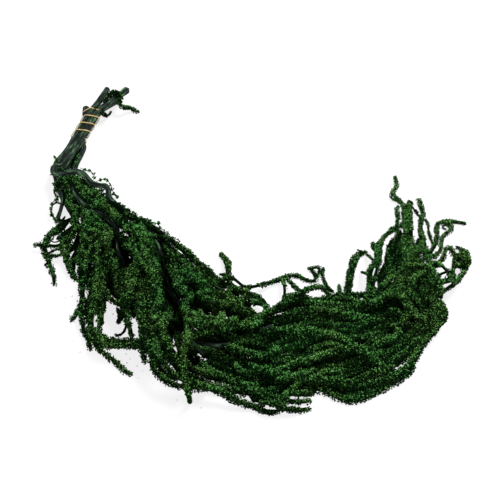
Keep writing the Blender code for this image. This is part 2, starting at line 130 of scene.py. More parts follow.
# Round heads of flowers. They are near the stems, and fine grains give way to them there.
HEADS_END_RIGHT = 225.0
HEADS_END_LOW = 365.0
HEADS_FADE = 60.0
HEADS_THICKEN = 0.6
GRAINS_GIVE_WAY = 0.85
HEADS_PER_MM2 = 0.056
HEAD_SIZE = (1.7, 2.7)
FULL_HEAD_RADIUS = 3.6
HEAD_SCALE = (0.6, 1.1)
HEAD_DEPTH = (0.45, 1.2)
HEAD_TONES = (0.6, 1.15)
GRAINS_PER_HEAD = 10
HEAD_OUTWARD = 0.8
HEAD_STAND = (0.72, 1.05)
HEAD_GRAIN_SIZE = (0.32, 0.46)
HEAD_LIGHT = (0.50, 0.25, 0.30)
HEAD_DARKEST = 0.08

# The dye varies between ropes and flowers; flanks get painted shade and the thin tip painted light.
TINTS = (0.6, 1.05)
ALL_PALER = 1.15
LOWEST_SHADE = 0.2
DULLEST = 0.25
BRIGHTER = 1.75
BRIGHT_POWER = 1.6
FLANK_SHADE = 0.20
FLANK_POWER = 1.4
FLANK_LIFT = 0.12
LIT_FROM = np.array([0.0, 0.38, 0.925])
TIP_START = (340.0, 310.0)
TIP_FADE = 50.0
TIP_PAINTED_LIGHT = 0.12

# Ropes behind the others are darker, as painted shade, and fuller. The deepest also have fewer flowers.
DEEP_PAINTED_SHADE = 0.62
DEEP_FULLNESS = 1.25
DEEPEST_PAINTED_SHADE = 0.42
DEEPEST_FULLNESS = 1.6
DEEPEST_DENSITY = 0.55

# How the solids' strands become ropes: flowers stand out this far, and the ends are blunt.
FLOWERS_OUT = 0.05
THIN_OUT = 1.2
THIN_BELOW = 3.6
TWIG_RADIUS = 1.6
STEM_OUT = 0.45
BENT_STEM = "stem_6"
BENT_STEM_OUT = 0.9
START_WIDTH = 0.6
END_WIDTH = 0.45
FULL_PERCENTILE = 80
BLUNT_LENGTH = 0.9
BLUNT_SHARE = 0.62
BLUNT_MIDDLE = 0.92
BAND_THINNER = 0.85
BUNDLE_END = (70, 170)

# Ways to look at a flower: azimuth from the right and elevation, in degrees, and how much light comes
# that way.
LOOKS = [(0, 90, 2.0), (270, 60, 2.0), (20, 45, 1.0), (90, 50, 1.0), (160, 45, 1.0), (315, 35, 1.0),
         (225, 35, 1.0), (0, 15, 0.5), (55, 15, 0.5), (125, 15, 0.5), (180, 15, 0.5), (270, 15, 0.5)]
LOOKS_BELOW = [(45, -50), (225, -50)]
LOOK_LIFT = 0.5
LOOK_START = 1.1
LOOK_REACH = 220.0
OVERHANG = 0.4

# Painted light on a flower, and the share of flowers that stay where few looks, or none, reach them.
DIM = 0.09
DARKEST = 0.05
LIT_SHARE = 1.16
LIGHT_POWER = 1.25
FULL_LIGHT = 0.74
KEPT_BESIDE = 0.29
KEPT_DIM = 0.13
KEPT_BELOW = 0.07
BESIDE_GROWTH = 1.5

# Stems, twigs and the band are ridged tubes. They swell by waves of (height, length), and their
# ridges wind slowly.
STEM_TUBE = {"sides": 16, "step": 1.6, "ridge": 0.035}
TWIG_TUBE = {"sides": 7, "step": 1.5, "ridge": 0.03}
BAND_TUBE = {"sides": 8, "step": 1.0, "ridge": 0.02}
BARK_SWELL = ((0.06, 9.0), (0.03, 3.0))
RIDGES = 4
FINE_RIDGES = 7
FINE_RIDGE_SHARE = 0.6
FINE_RIDGE_START = 1.3
RIDGE_TURN = 0.6
RIDGE_TURN_LENGTH = 60.0
TUBE_TIP = 0.8

# The finishes, each with its (position, colour) stops along a shade or a noise.
FLOWER_GREENS = [(0.0, (0.0015, 0.0050, 0.0015)), (0.25, (0.0105, 0.0340, 0.0080)),
                 (0.55, (0.0440, 0.1380, 0.0300)), (0.80, (0.1290, 0.3620, 0.0850)),
                 (1.0, (0.3000, 0.7200, 0.2000))]
HUE_PATCHES = 24.0
HUES = {"From_Min": 0.35, "From_Max": 0.65, "To_Min": 0.482, "To_Max": 0.512}
BARK_GREENS = [(0.38, (0.0010, 0.0018, 0.0015)), (0.47, (0.0075, 0.0125, 0.0100)),
               (0.55, (0.0210, 0.0370, 0.0270)), (0.61, (0.0550, 0.1300, 0.0500)),
               (0.67, (0.1900, 0.4300, 0.1400))]
STREAKS = (8.0, 60.0, 1.0)
STREAK_DETAIL = 6.0
STREAK_ROUGHNESS = 0.6
BARK_BUMP = {"Strength": 0.6, "Distance": 0.0006}
PITH_TONES = [(0.35, (0.10, 0.17, 0.08)), (0.65, (0.35, 0.43, 0.23))]
PITH_SPOTS = 900.0
RUBBER_TONES = [(0.35, (0.46, 0.29, 0.09)), (0.65, (0.72, 0.50, 0.21))]
RUBBER_SPOTS = 260.0

# Soft light from the room, from two lamps and from the table, which is lit from beneath.
WHITE = (1.0, 1.0, 1.0, 1.0)
WORLD_STRENGTH = 0.6
TABLE_COLOUR = (0.24, 0.24, 0.24, 1.0)
TABLE_GLOW = 0.75
TABLE_HALF = 4.0
LAMPS = [("key_light", (0.7, 0.5, 1.9), 50.0, 0.9), ("front_light", (-0.9, -1.3, 1.5), 13.5, 1.4)]

rng = np.random.default_rng(SEED)


def unit(vectors):
    """The vectors, or rows of vectors, at length one."""
    return vectors / np.maximum(np.linalg.norm(vectors, axis=-1, keepdims=True), 1e-9)


def sight_lines(points):
    """The directions from the eye to picture points."""
    points = np.asarray(points, float)
    right = points[:, 0] - PICTURE_MIDDLE[0]
    up = PICTURE_MIDDLE[1] - points[:, 1]
    return unit(EYE_DISTANCE * EYE_AHEAD + right[:, None] * np.array([1.0, 0.0, 0.0]) + up[:, None] * EYE_UP)


def pictured(places):
    """Where places show in the picture."""
    away = places - EYE
    share = EYE_DISTANCE / (away @ EYE_AHEAD)
    return np.column_stack([PICTURE_MIDDLE[0] + away[:, 0] * share,
                            PICTURE_MIDDLE[1] - (away @ EYE_UP) * share])


def lengths_along(points):
    """How far along the line each of its points is."""
    return np.concatenate([[0.0], np.cumsum(np.linalg.norm(np.diff(points, axis=0), axis=1))])


def at_lengths(values, along, wanted):
    """The rows of values at the wanted lengths along a line."""
    return np.column_stack([np.interp(wanted, along, values[:, k]) for k in range(values.shape[1])])


def blend(first, last, start, end, t):
    """The values at t on the way from first, at start, to last, at end."""
    return (end - t) / (end - start) * first + (t - start) / (end - start) * last


def smooth_rows(rows, step, places=3):
    """A centripetal Catmull-Rom curve through rows that start with their places, at even steps."""
    rows = np.asarray(rows, float)
    padded = np.vstack([2 * rows[0] - rows[1], rows, 2 * rows[-1] - rows[-2]])
    gaps = np.sqrt(np.maximum(np.linalg.norm(np.diff(padded[:, :places], axis=0), axis=1), 1e-6))
    knots = np.concatenate([[0.0], np.cumsum(gaps)])
    parts = []
    for k in range(1, len(padded) - 2):
        t0, t1, t2, t3 = knots[k - 1:k + 3]
        p0, p1, p2, p3 = padded[k - 1:k + 3]
        t = np.linspace(t1, t2, CURVE_PARTS, endpoint=False)[:, None]
        a1 = blend(p0, p1, t0, t1, t)
        a2 = blend(p1, p2, t1, t2, t)
        a3 = blend(p2, p3, t2, t3, t)
        parts.append(blend(blend(a1, a2, t0, t2, t), blend(a2, a3, t1, t3, t), t1, t2, t))
    curve = np.vstack(parts + [rows[-1:]])
    along = lengths_along(curve[:, :places])
    wanted = np.linspace(0.0, along[-1], max(3, int(along[-1] / step) + 1))
    return at_lengths(curve, along, wanted)


def route_points(route, step=LINE_STEP):
    """The picture points along a route."""
    return smooth_rows(route, step, places=2)


def wander(count, spacing, turn):
    """Smooth noise between -1 and 1, one value for each of count points."""
    knots = max(4, int(count * spacing / turn) + 4)
    values = rng.uniform(-1.0, 1.0, knots)
    t = np.linspace(0.0, knots - 1.001, count)
    k = t.astype(int)
    f = t - k
    f = f * f * (3 - 2 * f)
    return values[k] * (1 - f) + values[np.minimum(k + 1, knots - 1)] * f


def uneven(count, spacing, waves):
    """Values near 1 that vary by waves of (height, length), one value for each of count points."""
    values = np.ones(count)
    for height, turn in waves:
        values = values + height * wander(count, spacing, turn)
    return values


class Strand:
    """A line of points LINE_STEP apart with the radius at each."""

    def __init__(self, points, radii):
        self.points = points
        self.radii = radii
        self.along = lengths_along(points)
        self.length = self.along[-1]
        # A rope's tint starts as a random tone; painted light and painted shade are multiplied into it later.
        self.tint_and_painted_light = rng.uniform(*TINTS)
        self.fullness = 1.0
        self.density = 1.0

    def frames(self, wanted):
        """Centres, sideways and upward directions, headings and radii at the wanted lengths."""
        centres = at_lengths(self.points, self.along, wanted)
        ahead = at_lengths(self.points, self.along, np.minimum(wanted + HEADING_REACH, self.length))
        behind = at_lengths(self.points, self.along, np.maximum(wanted - HEADING_REACH, 0.0))
        headings = unit(ahead - behind)
        sides = unit(np.cross(headings, (0.0, 0.0, 1.0)))
        uppers = np.cross(sides, headings)
        return centres, sides, uppers, headings, np.interp(wanted, self.along, self.radii)


def ring_rows(node):
    """The middle and the radius of each ring of a tube-shaped solid, from one end to the other."""
    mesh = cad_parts[node].data
    welded, places, index = {}, [], []
    for vertex in mesh.vertices:
        key = tuple(round(c, 6) for c in vertex.co)
        if key not in welded:
            welded[key] = len(places)
            places.append(np.array(vertex.co) / MM)
        index.append(welded[key])
    beside = [set() for _ in places]
    for face in mesh.polygons:
        corners = [index[v] for v in face.vertices]
        for a, b in zip(corners, corners[1:] + corners[:1]):
            beside[a].add(b)
            beside[b].add(a)

    def layers_from(start):
        seen = {start}
        layers = [[start]]
        while layers[-1]:
            found = []
            for a in layers[-1]:
                for b in sorted(beside[a] - seen):
                    seen.add(b)
                    found.append(b)
            layers.append(found)
        return layers[:-1]

    def unevenness(start):
        sizes = [len(layer) for layer in layers_from(start)[1:-1]]
        return max(sizes) - min(sizes)

    far = layers_from(0)
    farthest = layers_from(far[-1][0])
    rows = []
    for layer in layers_from(min(far[-1] + far[-2] + farthest[-1] + farthest[-2], key=unevenness)):
        ring = np.array([places[k] for k in layer])
        middle = ring.mean(axis=0)
        radius = np.linalg.norm(ring - middle, axis=1).mean() if len(ring) > 1 else 0.0
        rows.append([*middle, radius])
    return np.array(rows)


def strand_of(node, first_place):
    """A node's strand, turned so that it starts at the end nearer the first place."""
    rows = ring_rows(node)
    if np.linalg.norm(rows[-1, :2] - first_place) < np.linalg.norm(rows[0, :2] - first_place):
        rows = rows[::-1]
    rows[0, 3] = max(rows[0, 3], START_WIDTH * rows[1, 3])
    rows[-1, 3] = max(rows[-1, 3], END_WIDTH * rows[-2, 3])
    smooth = smooth_rows(rows, LINE_STEP)
    strand = Strand(smooth[:, :3], smooth[:, 3])
    if node == "tie_band":
        strand.radii = BAND_THINNER * strand.radii
    elif node.startswith("stem_"):
        strand.radii += BENT_STEM_OUT if node == BENT_STEM else STEM_OUT
    else:
        full = np.percentile(strand.radii, FULL_PERCENTILE)
        ends = np.minimum(strand.along, strand.length - strand.along) / (2 * full * BLUNT_LENGTH)
        blunt = full * (BLUNT_SHARE + (BLUNT_MIDDLE - BLUNT_SHARE) * np.clip(ends, 0.0, 1.0))
        strand.radii = np.maximum(strand.radii, blunt) + FLOWERS_OUT
        if full > TWIG_RADIUS:
            strand.radii += THIN_OUT * np.clip((THIN_BELOW - strand.radii) / THIN_BELOW, 0.0, 0.5)
    return strand


class Heap:
    """The ropes laid so far, as balls along their middle lines."""

    def __init__(self):
        self.balls = np.zeros((0, 3))
        self.radii = np.zeros(0)

    def add(self, strand):
        wanted = np.linspace(0.0, strand.length, int(strand.length / BALL_STEP) + 2)
        self.balls = np.vstack([self.balls, at_lengths(strand.points, strand.along, wanted)])
        self.radii = np.concatenate([self.radii, np.interp(wanted, strand.along, strand.radii)])

    def meet(self, points, radii, pressed):
        """How far along each sight line a rope meets the table or the heap, bridging the gaps."""
        lines = sight_lines(points)
        reach = (EYE[2] - TABLE_PRESS * radii) / -lines[:, 2]
        if len(self.balls):
            away = self.balls - EYE
            ahead = lines @ away.T
            beside = (away ** 2).sum(axis=1)[None] - ahead ** 2
            touch = (pressed * (radii[:, None] + self.radii[None])) ** 2
            meets = np.where(beside < touch, ahead - np.sqrt(np.clip(touch - beside, 0.0, None)), np.inf)
            reach = np.minimum(reach, meets.min(axis=1))
        held = reach.copy()
        for _ in range(SETTLING_PASSES):
            for step in SETTLING_STEPS:
                if len(held) > 2 * step:
                    sag = (step * LINE_STEP) ** 2 / (2 * SAG_RADIUS)
                    bridged = (held[:-2 * step] + held[2 * step:]) / 2 + sag
                    held[step:-step] = np.minimum(reach[step:-step], bridged)
        return lines, held


def rope_radii(along, thickness):
    """A rope thins a little towards both of its ends."""
    ends = np.minimum(along, along[-1] - along) / (ROPE_END_LENGTH * thickness)
    share = ROPE_END_SHARE + (1.0 - ROPE_END_SHARE) * np.clip(ends, 0.0, 1.0) ** ROPE_END_POWER
    return 0.5 * thickness * share


def lay(heap, points, thickness, pressed, dives=(True, True), screen=None):
    """Lays a rope on the heap so that it shows at these picture points. Ends that dive are covered.

    A rope with a screen, another heap, shows only between the ropes of that heap.
    """
    along = lengths_along(points)
    radii = rope_radii(along, thickness)
    lines, reach = heap.meet(points, radii, pressed)
    if screen:
        reach = np.maximum(reach, screen.meet(points, radii, SCREEN_PRESS)[1] + BEHIND_SCREEN)
        easing = np.ones(2 * EASING + 1) / (2 * EASING + 1)
        reach = np.convolve(np.pad(reach, EASING, mode="edge"), easing, mode="valid")
    for dive, distance in zip(dives, (along, along[-1] - along)):
        if dive:
            reach = reach + DIVE_DEPTH * radii * np.clip(1.0 - distance / DIVE_LENGTH, 0.0, 1.0)
    places = EYE + reach[:, None] * lines
    places[:, 2] = np.maximum(places[:, 2], TABLE_PRESS * radii)
    rope = Strand(places, radii)
    if screen:
        # Painted shade: ropes behind the screen are darker.
        rope.tint_and_painted_light *= DEEP_PAINTED_SHADE
        rope.fullness = DEEP_FULLNESS
    heap.add(rope)
    return rope


class Flowers:
    """Gathers the corners, faces and shades of one piece of flowers."""

    def __init__(self, name, nodes=()):
        self.name, self.nodes = name, nodes
        self.strands = []
        self.corners, self.faces, self.shades = [], [], []
        self.count = 0

    def add(self, corners, faces, shades):
        self.corners.append(corners)
        self.faces.append(faces + self.count)
        self.shades.append(shades)
        self.count += len(corners)

    def made(self, paint):
        """The piece as an object."""
        piece = mesh_object(self.name, np.vstack(self.corners), np.vstack(self.faces), paint)
        shade = piece.data.attributes.new("shade", "FLOAT", "POINT")
        shade.data.foreach_set("value", np.clip(np.concatenate(self.shades), 0.0, 1.0).astype(np.float32))
        return piece


def placed(name, data):
    """A new object in the scene."""
    thing = bpy.data.objects.new(name, data)
    bpy.context.scene.collection.objects.link(thing)
    return thing


def mesh_object(name, corners, faces, paint):
    """A triangle mesh, from places in mm, in an object of its own."""
    mesh = bpy.data.meshes.new(name)
    mesh.vertices.add(len(corners))
    mesh.vertices.foreach_set("co", np.asarray(corners * MM, np.float32).ravel())
    mesh.loops.add(3 * len(faces))
    mesh.loops.foreach_set("vertex_index", np.asarray(faces, np.int32).ravel())
    mesh.polygons.add(len(faces))
    mesh.polygons.foreach_set("loop_start", np.arange(0, 3 * len(faces), 3, dtype=np.int32))
    mesh.update(calc_edges=True)
    mesh.shade_flat()
    mesh.materials.append(paint)
    return placed(name, mesh)


def rings_round(centres, sides, uppers, spread):
    """The corners of rings round the centres, each corner at its own spread."""
    angles = math.tau * np.arange(spread.shape[1]) / spread.shape[1]
    out = np.cos(angles)[None, :, None] * sides[:, None] + np.sin(angles)[None, :, None] * uppers[:, None]
    return centres[:, None] + spread[..., None] * out


def core_of(strand):
    """The corners, faces and shades of the closed, knobbly tube inside a rope's flowers."""
    rings = max(4, int(strand.length / CORE_STEP))
    centres, sides, uppers, headings, radii = strand.frames(np.linspace(0.0, strand.length, rings))
    share = np.interp(radii, (THIN_ROPE - THIN_BLEND[0], THIN_ROPE + THIN_BLEND[1]),
                      (THIN_CORE_SHARE, CORE_SHARE))
    spread = (strand.fullness * share * radii)[:, None] * rng.uniform(*CORE_KNOBS, (rings, CORE_SIDES))
    spread[[0, -1]] *= CORE_END
    corners = rings_round(centres, sides, uppers, spread)
    ends = np.array([centres[0] - CORE_CAP * radii[0] * headings[0],
                     centres[-1] + CORE_CAP * radii[-1] * headings[-1]])
    here = np.arange(CORE_SIDES)
    after = (here + 1) % CORE_SIDES
    base = CORE_SIDES * np.arange(rings - 1)[:, None]
    lower = np.stack([base + here, base + after, base + CORE_SIDES + after], axis=-1)
    upper = np.stack([base + here, base + CORE_SIDES + after, base + CORE_SIDES + here], axis=-1)
    last = CORE_SIDES * (rings - 1)
    start_cap = np.stack([after, here, np.full(CORE_SIDES, CORE_SIDES * rings)], axis=-1)
    end_cap = np.stack([last + here, last + after, np.full(CORE_SIDES, CORE_SIDES * rings + 1)], axis=-1)
    faces = np.concatenate([lower.reshape(-1, 3), upper.reshape(-1, 3), start_cap, end_cap])
    corners = np.vstack([corners.reshape(-1, 3), ends])
    # Painted shade: the core is nearly black where it shows between flowers.
    return corners, faces, np.full(len(corners), CORE_PAINTED_SHADE * strand.tint_and_painted_light)


def grains(places, ways, sizes, shades):
    """Small closed pyramids above the table, pointing their ways: tips paler and roots darker, as painted
    light.
    """
    risen = places[:, 2] > GRAIN_RISEN * sizes
    places, ways, sizes, shades = (rows[risen] for rows in (places, ways, sizes, shades))
    count = len(places)
    aside = unit(np.cross(ways, rng.normal(size=(count, 3))))
    across = np.cross(ways, aside)
    corners = np.empty((count, 4, 3))
    for k in range(3):
        angle = math.tau * k / 3
        spread = (sizes * rng.uniform(*GRAIN_WIDTH, count))[:, None]
        spoke = math.cos(angle) * aside + math.sin(angle) * across - GRAIN_ROOT * ways
        corners[:, k] = places + spread * spoke
    corners[:, 3] = places + (sizes * rng.uniform(*GRAIN_LENGTH, count))[:, None] * ways
    faces = GRAIN_FACES[None] + 4 * np.arange(count)[:, None, None]
    # Random brightness for each grain, with a few much brighter as painted glints.
    glints = DULLEST + BRIGHTER * rng.uniform(0.0, 1.0, count) ** BRIGHT_POWER
    shading = (glints * shades)[:, None] * np.array(GRAIN_PAINTED_SHADING)
    return corners.reshape(-1, 3), faces.reshape(-1, 3), shading.ravel()


def head_share(strand):
    """How far a rope has round heads instead of fine grains: they are near the stems, upper left."""
    seen = pictured(strand.points)
    return (np.clip((HEADS_END_RIGHT - seen[:, 0]) / HEADS_FADE, 0.0, 1.0)
            * np.clip((HEADS_END_LOW - seen[:, 1]) / HEADS_FADE, 0.0, 1.0)
            * np.clip((strand.radii.max() - THIN_ROPE) / HEADS_THICKEN, 0.0, 1.0))


def tip_share(strand):
    """How much of a rope is in the bunch's thin tip, which painted light makes paler."""
    seen = pictured(strand.points)
    return (np.clip((seen[:, 0] - TIP_START[0]) / TIP_FADE, 0.0, 1.0)
            * np.clip((TIP_START[1] - seen[:, 1]) / TIP_FADE, 0.0, 1.0)).mean()


def flank_shade(out):
    """Painted shade: a rope is darker on its flanks than on top, as if lit from LIT_FROM."""
    lit = np.clip(FLANK_LIFT + out @ LIT_FROM, 0.0, 1.0)
    return FLANK_SHADE + (1.0 - FLANK_SHADE) * lit ** FLANK_POWER


def scattered(strand, per_mm2, share):
    """Lengths along a rope of flowers that are scattered over it, fewer where the share is small."""
    area = math.tau * strand.radii.mean() * strand.length
    count = int(area * per_mm2 * strand.density)
    wanted = np.sort(rng.uniform(0.0, strand.length, count))
    return wanted[rng.uniform(0.0, 1.0, count) < np.interp(wanted, strand.along, share)]


def spokes(sides, uppers, angles):
    """The ways out of a rope at angles round it."""
    return np.cos(angles)[:, None] * sides + np.sin(angles)[:, None] * uppers


def fine_grains(strand, share):
    """Places, ways, sizes and shades of separate flowers, closely set all round a rope."""
    denser = THIN_DENSER if strand.radii.mean() < THIN_ROPE else 1.0
    wanted = scattered(strand, GRAINS_PER_MM2 * denser, 1.0 - GRAINS_GIVE_WAY * share)
    count = len(wanted)
    points = len(strand.points)
    knots = uneven(points, LINE_STEP, KNOTS)
    drift = WHORL_DRIFT * wander(points, LINE_STEP, WHORL_DRIFT_LENGTH)
    phases = math.tau * strand.along / WHORL_EVERY + drift
    centres, sides, uppers, headings, radii = strand.frames(wanted)
    whorls = 1.0 + WHORL_DEPTH * np.cos(np.interp(wanted, strand.along, phases))
    radii = radii * whorls * np.interp(wanted, strand.along, knots)
    angles = rng.uniform(0.0, math.tau, count)
    out = spokes(sides, uppers, angles)
    clusters = rng.uniform(0.0, 1.0, (CLUSTERS_ALONG, CLUSTERS_ROUND))
    cluster = clusters[(wanted / CLUSTER_WIDTH).astype(int) % CLUSTERS_ALONG,
                       (angles * radii / CLUSTER_WIDTH).astype(int) % CLUSTERS_ROUND]
    stand = CLUSTER_STANDS * cluster + (1.0 - CLUSTER_STANDS) * rng.uniform(0.0, 1.0, count)
    depth = GRAIN_DEPTH[0] + (GRAIN_DEPTH[1] - GRAIN_DEPTH[0]) * stand
    sizes = rng.uniform(*GRAIN_SIZE, count) * np.clip(radii / FULL_GRAIN_RADIUS, *GRAIN_SCALE)
    places = centres + (depth * radii - GRAIN_SUNK * sizes)[:, None] * out
    ways = unit(out + GRAIN_TILT * rng.normal(size=(count, 3)) + GRAIN_LEAN * headings)
    # Painted light: clusters that stand out are paler, with random tone besides.
    shine = CLUSTER_SHINES * cluster + (1.0 - CLUSTER_SHINES) * rng.uniform(0.0, 1.0, count)
    shine = LOWEST_SHADE + (1.0 - LOWEST_SHADE) * shine
    # Painted shade: the grooves between whorls are darker.
    return places, ways, sizes, ALL_PALER * strand.tint_and_painted_light * flank_shade(out) * shine * whorls ** 2


def round_heads(strand, share):
    """Middles, ways out, sizes and shades of round heads of flowers, where share is high."""
    wanted = scattered(strand, HEADS_PER_MM2, share)
    count = len(wanted)
    centres, sides, uppers, _, radii = strand.frames(wanted)
    out = spokes(sides, uppers, rng.uniform(0.0, math.tau, count))
    sizes = rng.uniform(*HEAD_SIZE, count) * np.clip(radii / FULL_HEAD_RADIUS, *HEAD_SCALE)
    places = centres + (radii - sizes * rng.uniform(*HEAD_DEPTH, count))[:, None] * out
    shades = ALL_PALER * strand.tint_and_painted_light * flank_shade(out) * rng.uniform(*HEAD_TONES, count)
    return places, out, sizes, shades


def head_grains(places, out, sizes, shades):
    """Grains of round heads: painted light on the rope's outside and above, painted shade between heads."""
    ways = unit(rng.normal(size=(len(places), GRAINS_PER_HEAD, 3)) + HEAD_OUTWARD * out[:, None])
    stand = rng.uniform(*HEAD_STAND, ways.shape[:2])
    spots = places[:, None] + (stand * sizes[:, None])[..., None] * ways
    small = rng.uniform(*HEAD_GRAIN_SIZE, ways.shape[:2]) * sizes[:, None]
    # Painted light: grains facing out and up are paler; painted shade darkens the rest.
    plain, outward, upward = HEAD_LIGHT
    light = plain + outward * (ways * out[:, None]).sum(axis=2) + upward * ways[..., 2]
    light = shades[:, None] * np.clip(light, HEAD_DARKEST, 1.0)
    return grains(spots.reshape(-1, 3), ways.reshape(-1, 3), small.ravel(), light.ravel())


def look_ways(looks):
    """Unit vectors towards azimuths and elevations in degrees."""
    azimuths, elevations = np.radians(np.array(looks, float)[:, :2]).T
    return np.column_stack([np.cos(elevations) * np.cos(azimuths), np.cos(elevations) * np.sin(azimuths),
                            np.sin(elevations)])


def openness(tree, places, ways):
    """How much light reaches each flower, from 0 to 1, whether it shows from above, and from below only."""
    looks = [Vector(way) for way in look_ways(LOOKS)]
    below = [Vector(way) for way in look_ways(LOOKS_BELOW)]
    weights = [weight for _, _, weight in LOOKS]
    light = np.zeros(len(places))
    above = np.zeros(len(places), bool)
    under = np.zeros(len(places), bool)

    def clear(place, look):
        return tree.ray_cast(place + LOOK_START * look, look, LOOK_REACH)[0] is None

    for k, start in enumerate(places + LOOK_LIFT * ways):
        place = Vector(start)
        for look, weight in zip(looks, weights):
            if clear(place, look):
                light[k] += weight
                above[k] |= weight == LOOKS[0][2]
        if light[k] == 0.0:
            under[k] = any(clear(place, look) for look in below)
    return light / sum(weights), above, under


def distances(points, line):
    """How far picture points are from the nearest point of a line."""
    return np.linalg.norm(points[:, None] - line[None], axis=2).min(axis=1)


def over_bare_places(places, sizes):
    """Whether flowers would show over a stem or a gap that is bare in the picture."""
    seen = pictured(places)
    over = np.zeros(len(places), bool)
    for line, width in BARE_LINES:
        over |= distances(seen, line) < width + OVERHANG * sizes
    for x, y, size in GAPS:
        over |= np.hypot(seen[:, 0] - x, seen[:, 1] - y) < size + OVERHANG * sizes
    return over


def in_view(tree, places, ways, sizes, shades):
    """The flowers that show, with painted shade: darker where less light reaches them, deep in the heap."""
    bare = over_bare_places(places, sizes)
    places, ways, sizes, shades = (rows[~bare] for rows in (places, ways, sizes, shades))
    light, above, under = openness(tree, places, ways)
    chance = np.select([above, light > DIM, light > 0.0], [1.0, KEPT_BESIDE, KEPT_DIM], KEPT_BELOW * under)
    kept = rng.uniform(0.0, 1.0, len(places)) < chance
    sizes = np.where(above, sizes, BESIDE_GROWTH * sizes)
    # Painted shade: flowers that less light reaches are darker.
    shades = shades * (DARKEST + LIT_SHARE * np.minimum(light, FULL_LIGHT) ** LIGHT_POWER)
    return places[kept], ways[kept], sizes[kept], shades[kept]


def dress(flowers, cores, tree):
    """Fills a piece with its ropes' cores and with the flowers that show."""
    for strand in flowers.strands:
        # Painted light: ropes in the bunch's thin tip are paler.
        strand.tint_and_painted_light *= 1.0 + TIP_PAINTED_LIGHT * tip_share(strand)
        flowers.add(*cores[strand])
        share = head_share(strand)
        flowers.add(*grains(*in_view(tree, *fine_grains(strand, share))))
        heads = in_view(tree, *round_heads(strand, share))
        if len(heads[0]):
            flowers.add(*head_grains(*heads))


def shader_of(name, **sockets):
    """A new material with these shader values, its shader and its node tree."""
    paint = bpy.data.materials.new(name)
    paint.use_nodes = True
    shader = paint.node_tree.nodes["Principled BSDF"]
    for socket, value in sockets.items():
        shader.inputs[socket.replace("_", " ")].default_value = value
    return paint, shader, paint.node_tree


def new_node(tree, kind, **inputs):
    """A shader node. Each input is a value, or the socket that feeds it."""
    node = tree.nodes.new("ShaderNode" + kind)
    for name, value in inputs.items():
        socket = node.inputs[name.replace("_", " ")]
        if isinstance(value, bpy.types.NodeSocket):
            tree.links.new(value, socket)
        else:
            socket.default_value = value
    return node


def ramp_colours(tree, factor, stops):
    """The colours at a factor between (position, colour) stops."""
    ramp = new_node(tree, "ValToRGB", Fac=factor)
    elements = ramp.color_ramp.elements
    while len(elements) < len(stops):
        elements.new(0.5)
    for element, (position, colour) in zip(elements, stops):
        element.position = position
        element.color = (*colour, 1.0)
    return ramp.outputs["Color"]


def noise_of(tree, place, scale, detail=2.0, roughness=0.5):
    """Noise in the given coordinates."""
    noise = new_node(tree, "TexNoise", Vector=place, Scale=scale, Detail=detail, Roughness=roughness)
    return noise.outputs["Fac"]


def flower_paint():
    """Dyed flowers: each has its own shade, with painted light, and patches of the bunch vary in hue."""
    paint, shader, tree = shader_of("dyed_flowers", Roughness=0.95, Specular_IOR_Level=0.0)
    shade = new_node(tree, "Attribute")
    shade.attribute_name = "shade"
    greens = ramp_colours(tree, shade.outputs["Fac"], FLOWER_GREENS)
    patches = noise_of(tree, new_node(tree, "TexCoord").outputs["Object"], HUE_PATCHES)
    hue = new_node(tree, "MapRange", Value=patches, **HUES)
    turned = new_node(tree, "HueSaturation", Hue=hue.outputs["Result"], Color=greens)
    tree.links.new(turned.outputs["Color"], shader.inputs["Base Color"])
    return paint


def stem_paint():
    """Dull dark grey-green bark with pale green streaks along the stem."""
    paint, shader, tree = shader_of("stem_bark", Roughness=0.7, Specular_IOR_Level=0.10)
    lie = new_node(tree, "TexCoord")
    squeeze = new_node(tree, "Mapping", Vector=lie.outputs["UV"], Scale=STREAKS)
    streaks = noise_of(tree, squeeze.outputs["Vector"], 1.0, STREAK_DETAIL, STREAK_ROUGHNESS)
    tree.links.new(ramp_colours(tree, streaks, BARK_GREENS), shader.inputs["Base Color"])
    bump = new_node(tree, "Bump", Height=streaks, **BARK_BUMP)
    tree.links.new(bump.outputs["Normal"], shader.inputs["Normal"])
    return paint


def spotted_paint(name, scale, tones, **sockets):
    """A plain finish that varies between two colours in small spots."""
    paint, shader, tree = shader_of(name, **sockets)
    spots = noise_of(tree, new_node(tree, "TexCoord").outputs["Object"], scale)
    tree.links.new(ramp_colours(tree, spots, tones), shader.inputs["Base Color"])
    return paint


